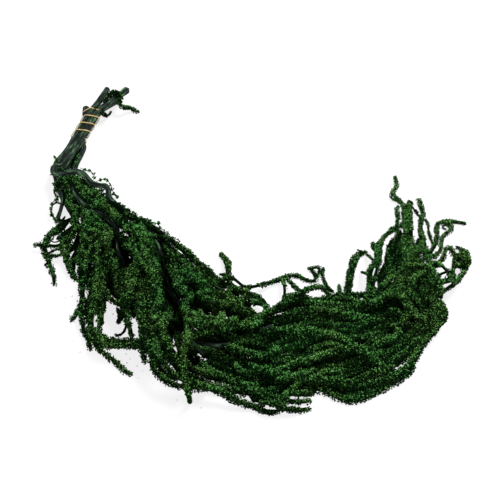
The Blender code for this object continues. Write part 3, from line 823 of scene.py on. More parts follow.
def bark_tube(name, strand, paints, sides, step, ridge):
    """A ridged tube, mapped by girth and length. Its start is cut flat and has the last of the paints."""
    rings = max(4, int(strand.length / step))
    wanted = np.linspace(0.0, strand.length, rings)
    centres, across, uppers, headings, radii = strand.frames(wanted)
    swell = uneven(rings, step, BARK_SWELL)
    turn = RIDGE_TURN * wander(rings, step, RIDGE_TURN_LENGTH)[:, None]
    angles = math.tau * np.arange(sides) / sides
    fine = np.cos(FINE_RIDGES * angles + FINE_RIDGE_START + 2 * turn)
    grooves = 1.0 + ridge * np.cos(RIDGES * (angles + turn)) + FINE_RIDGE_SHARE * ridge * fine
    corners = rings_round(centres, across, uppers, radii[:, None] * swell[:, None] * grooves)
    tip = centres[-1] + TUBE_TIP * radii[-1] * headings[-1]
    vertices = np.vstack([corners.reshape(-1, 3), tip]) * MM
    last = (rings - 1) * sides
    faces = []
    girths = []
    for here in range(0, last, sides):
        there = here + sides
        for j in range(sides):
            after = (j + 1) % sides
            faces.append((here + j, here + after, there + after, there + j))
            girths += [j / sides, (j + 1) / sides, (j + 1) / sides, j / sides]
    for j in range(sides):
        faces.append((last + j, last + (j + 1) % sides, last + sides))
        girths += [j / sides, (j + 1) / sides, (j + 0.5) / sides]
    faces.append(tuple(range(sides))[::-1])
    girths += [j / sides for j in range(sides)][::-1]
    mesh = bpy.data.meshes.new(name)
    mesh.from_pydata([tuple(vertex) for vertex in vertices], [], faces)
    mesh.polygons.foreach_set("use_smooth", np.ones(len(faces), bool))
    for paint in paints:
        mesh.materials.append(paint)
    cut = mesh.polygons[len(faces) - 1]
    cut.material_index = len(paints) - 1
    cut.use_smooth = False
    heights = np.append(np.repeat(wanted, sides), wanted[-1] / sides) * MM
    layer = mesh.uv_layers.new(name="girth_and_length")
    for loop, girth in zip(mesh.loops, girths):
        layer.data[loop.index].uv = (girth, heights[loop.vertex_index])
    mesh.update()
    return placed(name, mesh)


# Finer ropes that are each laid between two strands of the frame: the pair, how many, and the share of
# their length that they may cover.
BETWEEN = [
    ("rope_tassel_1", "under_tassel_1", 5, 0.25, 1.0),
    ("under_tassel_1", "under_tassel_2", 9, 0.28, 1.0),
    ("under_tassel_2", "under_tassel_3", 9, 0.3, 1.0),
    ("under_tassel_3", "under_tassel_4", 9, 0.34, 1.0),
    ("under_tassel_4", "rope_tassel_5", 4, 0.4, 1.0),
    ("rope_tassel_1", "rope_tassel_2", 5, 0.1, 1.0),
    ("rope_tassel_2", "rope_tassel_3", 5, 0.0, 1.0),
    ("rope_tassel_3", "rope_tassel_5", 5, 0.0, 1.0),
    ("rope_tassel_5", "rope_tassel_4", 2, 0.1, 0.8),
    ("left_tassel_3", "left_tassel_4", 3, 0.0, 0.9),
    ("left_tassel_4", "left_tassel_5", 3, 0.0, 0.65),
    ("left_tassel_5", "left_tassel_6", 3, 0.0, 0.7),
    ("left_tassel_6", "curtain_tassel_2", 3, 0.0, 0.6),
    ("curtain_tassel_2", "curtain_tassel_1", 2, 0.0, 1.0),
    ("curtain_tassel_1", "curtain_tassel_3", 5, 0.0, 0.5),
    ("curtain_tassel_3", "curtain_tassel_8", 4, 0.0, 0.8),
    ("curtain_tassel_8", "curtain_tassel_5", 3, 0.0, 0.6),
    ("curtain_tassel_5", "curtain_tassel_6", 4, 0.0, 1.0),
    ("curtain_tassel_6", "curtain_tassel_7", 5, 0.0, 0.75),
    ("curtain_tassel_7", "curtain_tassel_10", 6, 0.0, 0.8),
    ("curtain_tassel_10", "shoulder_tassel_2", 6, 0.4, 1.0),
    ("shoulder_tassel_1", "shoulder_tassel_2", 9, 0.0, 1.0),
    ("shoulder_tassel_2", "curtain_tassel_9", 4, 0.3, 0.8),
    ("under_tassel_6", "shoulder_tassel_2", 4, 0.0, 0.5),
    ("tip_tassel_1", "tip_tassel_2", 2, 0.0, 0.5),
    ("tip_tassel_2", "tip_tassel_3", 3, 0.0, 0.8),
    ("tip_tassel_3", "tip_tassel_4", 4, 0.0, 0.9),
    ("tip_tassel_4", "tip_tassel_5", 2, 0.0, 0.4),
    ("left_tassel_1", "left_tassel_3", 2, 0.0, 0.5),
]
BETWEEN_TRIES = 8
BETWEEN_POINTS = 20
BETWEEN_START = 0.6
BETWEEN_LENGTH = (0.3, 0.55)
BETWEEN_SIDE = (0.05, 0.95)
SIDE_WANDER = 0.25
SIDE_TURN = 80.0
SIDE_LIMITS = (-0.03, 1.03)
BETWEEN_THICKNESS = (5.5, 8.0)
BETWEEN_PRESSED = 0.55
OUTLINE_MARGIN = 0.95
WANDER_WIDTH = 3.0
WANDER_TURN = 55.0

# Ropes deep in the heap, each as (thickness, picture points), where the table would show through.
DEEP_ROPES = [
    (5.5, [(80, 149), (76, 157), (73, 166), (72, 172)]),
    (5.0, [(76, 146), (70, 156), (65, 166)]),
    (6.5, [(64, 179), (72, 178), (80, 181), (88, 187), (96, 192)]),
    (7.0, [(62, 184), (72, 186), (82, 192), (92, 198), (102, 202)]),
    (7.0, [(66, 190), (76, 198), (86, 204), (96, 208)]),
    (7.0, [(100, 197), (108, 202), (115, 208), (121, 215), (126, 223)]),
    (7.0, [(112, 212), (121, 219), (130, 226)]),
    (6.5, [(122, 211), (130, 218), (138, 222), (147, 226), (154, 231)]),
    (7.0, [(128, 224), (138, 228), (148, 232), (158, 236)]),
    (6.5, [(76, 226), (69, 231.5), (62, 236), (57, 240)]),
    (7.0, [(80, 244), (76, 254), (73, 262), (75, 270)]),
    (5.5, [(91, 250), (90, 262), (89, 276), (87.5, 290)]),
    (5.0, [(88, 300), (88, 312), (88.5, 322)]),
    (6.5, [(123, 247), (126, 256), (128, 264), (129, 272)]),
    (6.5, [(169, 274), (173, 283), (177, 291), (182, 298)]),
    (6.0, [(131, 304), (133, 312), (134, 319)]),
    (7.0, [(109, 286), (115, 292), (119, 299), (121, 305)]),
    (7.0, [(230, 330), (240, 330), (250, 328), (258, 324)]),
    (6.0, [(234, 289), (242, 293), (250, 295), (258, 297)]),
    (6.5, [(282, 312), (292, 311), (302, 309)]),
    (6.0, [(300, 396), (307, 395), (314, 394)]),
    (8.0, [(61, 187), (65, 195), (70, 204), (75, 214)]),
    (6.5, [(67, 199), (71, 209), (74, 220)]),
    (6.5, [(71, 219), (65, 223.5), (59, 230), (54, 235)]),
    (6.5, [(78, 224), (72, 234), (65, 239), (60, 246)]),
    (7.0, [(81, 232), (74, 247), (68, 250), (64, 258)]),
    (8.0, [(156, 238), (162, 243), (167, 250), (171, 260)]),
    (8.0, [(234, 305), (242, 306), (250, 311), (257, 317)]),
    (5.0, [(238, 299), (245, 303), (252, 305)]),
    (9.0, [(268, 315), (284, 306), (300, 303), (315, 305)]),
    (8.0, [(320, 305), (335, 304), (350, 302)]),
    (8.0, [(250, 385), (268, 389), (285, 391), (298, 393)]),
    (7.0, [(284, 392), (298, 394), (311, 394)]),
    (8.0, [(318, 386), (332, 390), (350, 394)]),
    (5.0, [(157, 364), (164, 373), (176, 381)]),
    (7.0, [(208, 345), (224, 350), (242, 356)]),
    (8.0, [(176, 326), (190, 334), (210, 338), (232, 338), (250, 334)]),
    (8.0, [(182, 336), (196, 346), (214, 354), (234, 360), (252, 366)]),
    (7.5, [(206, 362), (222, 368), (240, 376)]),
    (7.5, [(170, 262), (176, 274), (184, 288), (194, 300), (208, 310)]),
    (7.5, [(160, 262), (166, 280), (172, 296), (180, 312), (186, 326)]),
    (7.5, [(112, 222), (116, 240), (120, 256), (122, 274), (116, 290)]),
    (7.0, [(160, 296), (164, 312), (168, 328), (172, 344)]),
    (7.0, [(393, 240), (389, 252), (388, 264), (390, 278)]),
    (8.0, [(400, 232), (397, 248), (396, 264), (396, 280)]),
    (5.5, [(404, 204), (405, 218), (407, 230), (407, 246), (409, 262)]),
    (5.5, [(418, 240), (417, 256), (420, 270)]),
    (7.0, [(387, 262), (383, 272), (381, 282), (380, 292)]),
    (8.0, [(392, 264), (389, 278), (387, 292), (390, 304)]),
    (5.5, [(424, 266), (432, 268), (439, 266)]),
    (8.0, [(404, 262), (408, 276), (404, 290), (398, 304)]),
    (8.0, [(252, 333), (266, 334), (282, 334), (296, 333)]),
    (8.0, [(234, 347), (248, 349), (262, 350), (276, 352)]),
    (7.5, [(224, 361), (234, 366), (246, 370)]),
    (8.0, [(336, 385), (350, 389), (366, 388), (382, 383)]),
    (8.0, [(160, 270), (166, 290), (172, 310), (180, 330)]),
    (9.0, [(300, 318), (330, 317), (360, 318), (390, 317), (412, 313)]),
    (9.0, [(300, 330), (330, 329), (360, 328), (390, 326), (416, 324)]),
    (9.0, [(262, 342), (290, 344), (320, 342), (350, 340), (380, 338), (402, 333)]),
    (9.0, [(270, 353), (300, 353), (330, 352), (360, 350), (388, 346)]),
    (9.0, [(280, 363), (310, 363), (340, 362), (370, 360), (394, 355)]),
    (9.0, [(290, 374), (320, 374), (350, 373), (376, 369)]),
    (7.0, [(338, 390), (352, 392.5), (364, 391), (376, 387)]),
    (8.0, [(178, 354), (198, 364), (220, 375), (244, 384)]),
    (8.0, [(150, 330), (160, 346), (168, 360)]),
    (7.0, [(107, 230), (111, 242), (115, 256)]),
    (7.5, [(118, 245), (121, 255), (124, 266)]),
    (7.0, [(90, 212), (97, 217), (104, 222), (110, 226)]),
    (7.0, [(70, 193), (75, 200), (80, 206), (86, 210)]),
    (6.0, [(59, 182), (64, 188), (68, 196)]),
    (5.0, [(58, 166), (62, 161), (66, 155)]),
    (5.0, [(68, 171), (71, 165), (75, 157)]),
    (7.0, [(158, 246), (161, 256), (164, 268), (168, 282), (174, 294), (180, 303)]),
    (7.0, [(97, 213), (105, 217), (112, 222), (117, 230), (118, 240)]),
    (7.0, [(192, 341), (206, 342.5), (220, 343), (232, 343)]),
    (8.0, [(205, 352), (222, 360), (240, 367), (262, 374)]),
    (8.0, [(206, 370), (222, 375), (244, 381), (266, 385), (286, 387)]),
    (8.0, [(254, 330), (268, 326), (284, 323), (300, 322)]),
    (8.0, [(262, 378), (284, 382), (306, 382), (330, 380)]),
    (7.0, [(198, 303), (210, 309), (220, 313)]),
]

# Ropes in view. Both of their ends dive into the heap.
UPPER_LEFT_ROPES = [
    (6.0, [(124, 265), (123, 272), (122.5, 280), (123, 290), (124, 298), (123, 305)]),
    (6.0, [(130, 272), (127, 280), (129, 290), (131, 298)]),
    (8.0, [(134, 240), (132, 246), (134, 252), (138, 257), (137, 266), (136, 275), (134, 283),
           (131, 290), (131, 300), (132, 310)]),
    (8.0, [(133, 230), (139, 233), (142, 240), (146, 248), (148, 256), (145, 266), (148, 272),
           (150, 280), (146, 288), (144, 298), (142, 305), (142, 320), (144, 330), (143, 342),
           (145, 352)]),
    (7.0, [(148, 238), (151, 246), (150, 256), (149, 266), (152, 275), (148, 282)]),
    (7.0, [(155, 284), (160, 289), (160, 298), (159, 305), (154, 311)]),
    (7.0, [(165, 243), (168, 250), (171, 258), (170, 266), (173, 275), (177, 283), (181, 290),
           (186, 297), (191, 303), (197, 303)]),
    (5.5, [(160, 236), (165, 237), (167, 242)]),
    (6.5, [(171, 250), (175, 252), (179, 256)]),
    (6.5, [(183, 250), (188, 255), (194, 261)]),
    (6.5, [(190, 260), (189.5, 266), (195, 268), (203, 272), (210, 272)]),
    (6.5, [(180, 246), (186, 251), (192, 255), (196, 260), (202, 266), (209, 270), (215, 277)]),
    (7.0, [(187, 278), (195, 280), (205, 282), (213, 280)]),
    (7.0, [(192, 290), (198, 297), (206, 293), (213, 290), (218, 292)]),
    (7.0, [(200, 295), (208, 300), (214, 303)]),
    (7.0, [(100, 290), (110, 298), (118, 304), (124, 308)]),
    (7.0, [(186, 305), (182, 312), (178, 318), (175, 325), (172, 332), (174, 336)]),
    (6.0, [(84, 187), (90, 190), (97, 192), (103, 191)]),
    (6.0, [(86, 193), (94, 195), (101, 198)]),
    (6.0, [(66, 180), (74, 179.5), (81, 182.5), (87, 187), (93, 190), (98, 191.5)]),
    (5.0, [(70, 176.5), (76, 177.5), (82, 180), (87, 184.5)]),
    (6.5, [(80, 187), (86, 193), (90, 199), (97, 203), (104, 207)]),
    (7.5, [(88, 199), (95, 204), (103, 208), (111, 212.5), (119, 218), (127, 223), (134, 229)]),
    (6.5, [(99, 202), (105, 206.5), (111, 211), (115, 216)]),
    (7.0, [(80, 207), (86, 207.5), (92, 208), (97, 206)]),
    (7.0, [(83, 211), (90, 215), (97, 220.5), (104, 225)]),
    (5.0, [(117, 235), (123, 232), (130, 229.5)]),
    (5.5, [(64, 200), (69, 206), (72.5, 213), (74, 219)]),
    (7.5, [(61, 187), (66, 195), (69.5, 203), (72.5, 211), (75, 220)]),
    (6.5, [(70, 184), (68, 191), (70, 198), (74, 204)]),
    (7.0, [(112, 213), (119, 220), (123, 226), (131, 231), (139, 233)]),
    (6.0, [(64, 254), (67, 262), (71, 270), (75, 279)]),
    (5.5, [(104, 300), (102.5, 309), (102.5, 318), (103, 325)]),
]
LOWER_ROPES = [
    (6.5, [(190, 321), (205, 318), (225, 322), (240, 318)]),
    (6.5, [(190, 328), (197, 333), (210, 332), (222, 330), (235, 328)]),
    (6.0, [(156, 338), (155, 350), (158, 358), (157, 368)]),
    (5.0, [(190, 352), (200, 360), (208, 368), (215, 372), (225, 377)]),
    (5.0, [(185, 360), (195, 369), (205, 373), (215, 377)]),
    (6.0, [(203, 355), (207, 358), (212, 362)]),
    (6.0, [(190, 388), (200, 385), (210, 388), (222, 390)]),
    (7.0, [(222, 345), (230, 348), (238, 350), (246, 352), (252, 354), (258, 356), (262, 357),
           (268, 355), (272, 352), (276, 348), (282, 346)]),
    (6.0, [(270, 357), (273, 353), (278, 349), (283, 347)]),
    (7.0, [(275, 371), (285, 369), (292, 365), (298, 362), (306, 362), (315, 358), (323, 356),
           (330, 353), (340, 351), (350, 348)]),
    (6.0, [(298, 371), (300, 376), (298, 382), (294, 388), (289, 391), (286, 396), (286, 402),
           (282, 406)]),
    (6.0, [(235, 362), (238, 368), (243, 372), (250, 373), (258, 371)]),
    (6.0, [(240, 380), (246, 385), (252, 386), (260, 384)]),
    (6.0, [(250, 334), (255, 322), (262, 315), (268, 310)]),
    (6.0, [(262, 325), (268, 322), (275, 322), (280, 325)]),
    (6.5, [(262, 313), (270, 311), (280, 306), (290, 300), (300, 298)]),
    (6.0, [(258, 318), (266, 314), (274, 309)]),
    (6.0, [(229, 344), (238, 343), (247, 341), (256, 336), (264, 330)]),
    (6.0, [(236, 336), (246, 334), (256, 331), (266, 329)]),
    (6.0, [(238, 325), (248, 327), (258, 324), (264, 319)]),
    (6.5, [(272, 340), (284, 338), (296, 334), (306, 333)]),
    (6.5, [(262, 347), (274, 345), (288, 341), (300, 338), (312, 337)]),
    (6.5, [(250, 362), (262, 364), (276, 362), (290, 356), (304, 350), (316, 346)]),
    (6.5, [(240, 386), (254, 391), (270, 391), (284, 388)]),
    (6.0, [(270, 378), (284, 379), (298, 376), (310, 372), (322, 370)]),
    (5.0, [(184, 347), (197, 348), (210, 350), (222, 351)]),
    (4.5, [(188, 335), (200, 337.5), (212, 339), (224, 340)]),
    (6.0, [(246, 296), (252, 303), (258, 303), (266, 308)]),
    (6.0, [(250, 398), (260, 402), (272, 404), (282, 402)]),
    (6.0, [(282, 396), (294, 393), (306, 393), (316, 392)]),
]
RIGHT_ROPES = [
    (7.0, [(300, 310), (312, 309), (325, 312), (340, 314), (355, 316)]),
    (7.0, [(305, 327), (315, 323), (327, 320), (340, 319), (352, 321)]),
    (7.0, [(330, 301), (345, 299), (360, 303), (375, 303), (388, 297)]),
    (7.0, [(330, 311), (345, 314), (360, 317), (375, 320), (390, 324)]),
    (7.0, [(308, 350), (315, 347), (322, 346), (330, 343), (340, 340)]),
    (8.0, [(320, 332), (327, 334), (335, 336), (343, 340), (352, 345), (360, 350), (368, 355),
           (374, 360), (380, 366), (387, 372)]),
    (6.5, [(350, 338), (357, 338), (364, 339), (370, 337), (378, 334)]),
    (6.5, [(363, 348), (370, 344), (376, 342), (383, 339), (389, 337)]),
    (6.5, [(370, 357), (378, 354), (384, 350), (390, 348)]),
    (6.0, [(352, 356), (357, 358), (358, 363), (357, 369), (354, 372)]),
    (6.0, [(328, 372), (333, 371), (336, 373), (340, 377)]),
    (6.0, [(335, 380), (345, 376), (350, 374)]),
    (7.0, [(340, 386), (346, 384), (353, 382), (360, 379), (368, 375), (375, 371), (380, 367)]),
    (6.0, [(397, 280), (399, 286), (403, 289), (409, 291)]),
    (6.0, [(420, 275), (414, 278), (411, 283), (411, 289), (409, 294)]),
    (6.5, [(413, 297), (417, 302), (421, 306), (427, 309)]),
    (7.0, [(380, 300), (386, 296), (393, 293), (398, 293), (402, 297), (405, 303), (409, 309),
           (413, 314), (418, 317), (423, 319), (427, 321)]),
    (6.0, [(431, 280), (433, 285), (434, 291)]),
    (5.5, [(432, 306), (433, 312), (433, 320), (433, 328), (434, 334)]),
    (6.0, [(436, 305), (439, 310), (440, 317), (440, 323)]),
    (6.0, [(395, 318), (396, 325), (398, 332), (395, 337)]),
    (6.0, [(380, 343), (388, 340), (396, 337)]),
    (6.0, [(400, 345), (410, 342), (420, 340), (426, 340)]),
    (4.5, [(425, 266), (430, 265), (436, 263.5), (441, 262)]),
    (5.0, [(392, 243), (389.5, 249), (388, 256), (388, 263)]),
    (5.0, [(403, 204), (405, 213), (406, 223), (405, 233), (403, 243), (399, 252)]),
    (4.6, [(409, 203), (410, 212), (410, 222), (411.5, 232), (411, 243)]),
    (5.0, [(396, 240), (399, 250), (398, 260), (393, 268)]),
    (5.0, [(410, 244), (413, 253), (411, 262), (406, 271)]),
    (5.5, [(421, 246), (418, 251), (415, 256), (416, 262)]),
    (5.5, [(394, 262), (404, 265), (414, 266), (424, 266), (432, 270), (437, 278), (440, 288),
           (441, 298)]),
    (5.0, [(399, 268), (394, 275), (388, 281), (382, 285)]),
    (5.0, [(408, 291), (412, 283), (417, 277), (422, 274)]),
    (5.0, [(423, 277), (427, 285), (429, 295), (428, 305)]),
    (5.0, [(417, 285), (420, 293), (421, 302)]),
    (5.0, [(381, 300), (390, 296), (398, 296), (406, 301)]),
    (5.5, [(290, 304), (304, 302), (318, 303), (334, 304), (350, 304), (362, 306)]),
    (5.5, [(308, 323), (320, 320.5), (332, 318.5), (344, 318), (356, 319), (368, 322)]),
    (6.0, [(375, 344), (385, 341), (394, 339)]),
    (6.0, [(300, 364), (311, 360), (323, 356), (334, 352), (344, 349)]),
    (6.0, [(302, 353), (311, 350), (320, 347), (330, 344), (338, 341)]),
    (6.0, [(330, 361), (340, 358), (348, 352), (354, 345)]),
    (6.0, [(318, 376), (326, 372), (336, 371), (346, 370), (354, 364), (357, 356)]),
    (6.0, [(384, 318), (394, 315), (404, 312)]),
    (6.0, [(386, 329), (397, 326), (408, 322)]),
    (6.0, [(398, 356), (408, 350), (418, 346)]),
    (6.0, [(384, 364), (394, 360), (404, 354)]),
    (6.0, [(392, 366), (401, 361), (410, 354), (417, 350)]),
    (6.0, [(344, 395), (354, 396), (364, 394), (374, 391)]),
    (6.5, [(372, 374), (382, 372), (391, 368), (398, 362)]),
    (6.0, [(326, 344), (335, 346), (344, 348), (352, 352)]),
    (4.5, [(434, 262), (440, 265), (446, 270), (450, 277)]),
    (6.0, [(435, 299), (441, 304), (444.5, 310), (445, 316), (442, 322), (436, 328)]),
    (6.0, [(428, 298), (435, 303), (439.5, 309), (440, 316)]),
]

# Short side tassels that cover parts of the heap. Each area has the box that they start in, how many
# there are, their thickness and length, and their heading with its spread, in degrees clockwise from
# the picture's right.
TUFT_AREAS = [
    ("moss_near_the_tie", (60, 178, 126, 214), 38, (4.5, 6.5), (8, 16), 70, 60),
    ("moss_on_the_curtain", (62, 206, 150, 262), 62, (5.0, 7.0), (10, 20), 85, 50),
    ("moss_on_the_shoulder", (128, 216, 204, 290), 44, (4.6, 6.2), (10, 22), 60, 45),
    ("tufts_on_the_curtain", (80, 255, 165, 345), 32, (5.0, 7.0), (12, 24), 88, 35),
    ("tufts_in_the_middle", (158, 268, 246, 320), 40, (5.0, 6.6), (12, 24), 48, 50),
    ("tufts_below_the_stem", (160, 296, 206, 350), 20, (5.0, 6.4), (12, 24), 75, 40),
    ("curls_at_the_tip", (384, 226, 440, 300), 28, (4.0, 5.0), (12, 24), 80, 60),
]
TUFT_CURL = 5.0
TUFT_PRESSED = 0.38
TUFT_TRIES = 6

# Small tassels at the edges. Only the start of each dives.
EDGE_STRAYS = [
    (4.0, [(68, 246), (58, 249), (50, 252), (46, 254)]),
    (4.0, [(68, 252), (60, 255.5), (50, 256), (47, 258)]),
    (2.8, [(62, 239), (57, 242), (53, 242), (50, 239)]),
    (4.5, [(66, 228), (59, 232), (53, 234.5), (50, 236)]),
    (5.5, [(117, 309), (120, 314), (118.5, 320), (117.5, 323)]),
    (4.8, [(128, 316), (126, 326), (123, 333), (119, 335), (115.5, 335)]),
    (4.0, [(129, 322), (130, 330), (131, 339)]),
    (6.5, [(187, 384), (188, 391), (189, 397), (190, 402)]),
    (3.0, [(230, 277), (226, 275), (220, 274.5)]),
    (5.0, [(256, 296), (250, 294), (246, 291), (238, 288), (233, 285), (230, 281)]),
    (5.5, [(284, 298), (284.5, 291), (284, 285), (283, 279)]),
    (5.0, [(301, 291), (296, 288), (292, 284), (287, 279)]),
    (4.0, [(316, 279), (320, 268.5), (317, 267), (312, 268), (308, 268.5)]),
    (4.3, [(333, 292), (328, 288), (325, 283), (323, 278), (322.5, 273), (323.5, 268)]),
    (3.5, [(341, 296), (339.5, 290), (339, 284.5)]),
    (1.8, [(365, 252), (361, 251), (357, 249.5)]),
    (3.0, [(374, 262), (372, 259), (369, 256), (366, 254.5)]),
    (2.5, [(377, 279), (373, 277), (369, 275), (365, 273), (361, 272)]),
    (2.6, [(400, 204), (397, 201), (393, 199.5), (390.5, 197), (391, 193), (393, 192)]),
    (4.5, [(393, 247), (395, 240), (397, 235), (398, 230), (397, 225), (398, 220), (397.5, 214),
           (396.5, 209), (399, 206)]),
    (4.0, [(419, 217), (416, 211), (412, 207)]),
    (4.0, [(433, 245), (431, 240), (430, 235), (428, 231), (428, 226), (427, 222), (425, 219)]),
    (3.0, [(446, 230), (443.5, 229), (442.5, 226), (444.5, 224.5)]),
    (1.8, [(465.5, 250), (463, 248.5), (459, 248), (455.5, 246)]),
    (6.2, [(455, 258), (454, 262), (456, 266), (461, 267), (466, 265), (468, 260), (465, 255),
           (460, 254), (457, 258), (458, 263), (463, 264)]),
    (5.5, [(457, 254), (461, 258), (465, 261), (462, 266)]),
    (6.5, [(347.5, 291), (349, 281), (351, 271), (354, 262.5), (358, 257.5)]),
    (4.8, [(371, 290), (371, 280), (371.5, 272), (374, 265), (378, 259)]),
    (4.5, [(436, 276), (441, 274), (446, 272), (451, 271), (454, 274), (453, 279), (449, 282),
           (444, 283), (438, 282)]),
    (4.0, [(433, 261), (429, 263), (426, 261)]),
]

# Moss-like tufts on and beside the tied stems.
STEM_TUFTS = [
    (3.5, [(106, 100), (108, 95), (111, 92), (115, 90.5), (118, 92), (121, 97)]),
    (2.8, [(100, 112), (105, 116), (110, 113.5), (111, 111)]),
    (3.5, [(103, 112), (106, 114.5), (107, 117)]),
    (2.6, [(94, 107), (96, 109)]),
    (2.6, [(54, 156), (56, 159), (58, 163)]),
    (3.2, [(79, 154), (77, 159), (76, 164), (77, 168)]),
    (3.2, [(60, 168), (63, 170), (66, 172)]),
    (3.0, [(62, 205), (58, 202.5), (55, 203)]),
]

# The ropes in view: their routes, press, whether start and end dive, and tint, paler on top as painted light.
ROPE_KINDS = [("upper_left_ropes", UPPER_LEFT_ROPES, ROPE_PRESSED, (True, True), 1.1),
              ("lower_ropes", LOWER_ROPES, ROPE_PRESSED, (True, True), 1.22),
              ("right_ropes", RIGHT_ROPES, ROPE_PRESSED, (True, True), 1.22),
              ("edge_strays", EDGE_STRAYS, STRAY_PRESSED, (True, False), 1.0),
              ("stem_tufts", STEM_TUFTS, STRAY_PRESSED, (False, False), 1.0)]

# Thin bare twigs with beads of flowers on them.
BEADED_TWIGS = [
    [(80, 168), (86, 170.5), (90, 171), (93, 173), (94.5, 176), (93.5, 180)],
    [(95, 182), (100, 180), (104, 179), (108, 181), (110, 184), (112, 188), (113, 193), (116, 195),
     (118, 199)],
    [(145, 218), (152, 223), (158, 223), (160, 226), (157, 232)],
    [(54, 180), (55, 187), (57, 193), (57, 198), (52, 203), (51, 208), (51, 213), (54, 218),
     (57, 221)],
]
TWIG_THICKNESS = 1.2
TWIG_CORE = 1.4
BEAD_EVERY = 5.4
BEAD_JITTER = 1.5
BEAD_SIZE = (2.1, 3.1)
GRAINS_PER_BEAD = 12
BEAD_STAND = 0.55
BEAD_GRAIN = 0.45
BEAD_SHADE = 0.5
TWIG_SHADE = 0.16

# Branches and bare twigs in view among the ropes.
BARE_TWIGS = [
    (2.2, [(105, 188), (103, 190.5), (101, 193)]),
    (1.6, [(54, 174), (50, 175)]),
    (2.4, [(258, 332), (265, 328), (272, 325)]),
    (2.0, [(281, 354), (289, 354.5), (297, 354)]),
    (2.2, [(193, 342), (198, 349), (204, 356)]),
    (2.2, [(212, 336), (216, 338), (220, 342)]),
    (2.2, [(214, 285), (219, 288), (224, 291)]),
]

# Places of flowers that have fallen on the table.
FALLEN = [(67, 277), (66, 282), (72, 296), (65, 298), (71, 298), (113, 314), (120, 328), (126, 354),
          (130, 359), (127, 363), (137, 366), (143, 371), (129, 376), (138, 378), (80, 352), (72, 341),
          (177, 400), (201, 408)]
FALLEN_SIZE = (0.45, 0.8)
FALLEN_LIE = (1, 1, 0.2)
FALLEN_SHADE = 0.3

# Picture places that stay bare of the ropes between strands: stems in view, as (points, half width),
# and gaps, as (x, y, radius).
BARE_STEMS = [
    ([(60, 174), (66, 173), (72, 172), (78, 172), (82, 173.5), (86, 177), (89.5, 181), (94, 184),
      (100, 185.5), (106, 186), (108.5, 191), (109, 196), (111.5, 200), (115, 204), (119, 208),
      (122, 212), (124.5, 217), (126.5, 221.5)], 2.2),
    ([(72, 186), (76, 195), (83, 205)], 2.2),
    ([(95, 211), (103, 216), (111, 221), (116, 229), (117, 236), (116, 243)], 2.2),
    ([(119, 251), (122, 258), (124, 266)], 2.2),
    ([(157, 243), (159, 251), (161.5, 258), (163, 266), (165.5, 275), (167.5, 284), (171, 291),
      (175, 297), (179, 303)], 1.9),
    ([(166, 242), (170, 247), (175, 251)], 1.5),
    ([(63, 195), (62, 203), (60, 210), (58, 217)], 2.2),
    ([(197, 341), (207, 344), (226, 344)], 1.8),
]
GAPS = [(56, 211, 4), (66, 215, 5), (60, 194, 2), (68, 227, 3.5), (54, 238, 2), (55, 243, 4), (49, 250, 2),
        (57, 252, 2), (77, 241, 3), (73, 256, 1.5), (122, 226, 2), (129, 235, 2), (155, 230, 3),
        (180, 251, 2), (93, 271, 1.5), (84, 295, 3), (95, 318, 3), (95, 324, 3), (84, 327, 1),
        (111, 310, 5), (110, 318, 7), (109, 328, 7), (122, 331, 6), (135, 329, 4), (118, 343, 0),
        (195, 362, 4), (174, 350, 3), (159, 368, 1.5), (169, 372, 1.5), (173, 379, 2), (180, 382, 2),
        (238, 393, 2), (248, 398, 2), (257, 402, 2), (267, 407, 2), (275, 410, 1.5), (292, 398, 2),
        (304, 406, 3), (259, 309, 4), (249, 300, 2), (279, 308, 2), (227, 283, 2), (234, 283, 2),
        (392, 252, 3), (403, 231, 2), (413, 233, 3), (425, 228, 3), (428, 243, 3), (436, 248, 3),
        (374, 272, 4), (374, 284, 3), (443, 271, 4), (457, 271, 3), (448, 285, 4), (447, 278, 1),
        (240, 280, 6), (255, 288, 4), (270, 296, 8), (282, 290, 5), (415.6, 203, 1.2), (415.8, 208, 1.2)]
BARE_LINE_STEP = 2.0
MOST_OVER_STEM = 3
BARE_LINES = [(route_points(stem, BARE_LINE_STEP), width) for stem, width in BARE_STEMS]

# The edge of the dense part of the bunch in the picture.
OUTLINE = [(58, 180), (76, 176), (84, 180), (92, 187), (98, 192), (110, 198), (118, 200), (122, 204),
           (127, 211), (131, 214), (137, 215), (142, 216), (150, 224), (158, 228), (164, 231),
           (168, 233.5), (171, 236), (175, 240),
           (180, 243), (187, 249), (192, 253), (195, 257), (200, 261), (204, 265), (209, 267.5), (213, 271),
           (217, 275), (224, 280), (232, 288), (242, 294), (252, 294), (260, 298), (266, 303), (270, 307.5),
           (274, 305), (278, 303), (282, 301.5), (285, 298), (287, 294.5), (292, 293), (300, 291), (308, 295),
           (319, 297), (330, 293), (336, 291), (343, 291), (365, 292), (376, 290), (379, 276), (382, 265),
           (386, 258), (388, 246), (392, 240), (396, 226), (396, 212), (401, 203), (409, 200), (419, 200),
           (424, 212), (428, 226), (433, 245), (436, 262), (440, 276), (441, 298), (444, 308), (448, 315),
           (446, 323), (440, 328), (433, 336), (430, 340), (424, 350), (420, 361), (414, 370), (410, 377),
           (403, 381), (395, 386), (385, 391), (375, 397), (362, 403), (347, 404), (335, 401), (325, 393.5),
           (318, 393), (314, 396), (314, 405), (310, 412.5), (290, 413.5), (271, 416), (255, 408), (242, 405),
           (230, 400), (226, 394), (211, 394), (200, 391.5), (187, 391), (172, 387), (160, 380), (152, 371),
           (149, 358), (137, 351), (100, 350), (88, 348), (80, 331), (79, 294), (80, 290), (75, 284),
           (73, 277), (66, 268), (60, 258), (52, 252), (44, 246), (50, 232), (60, 222), (66, 208), (58, 192)]
OUTLINE_STEP = 3.0
OUTLINE_LINE = route_points(OUTLINE + OUTLINE[:1], OUTLINE_STEP)


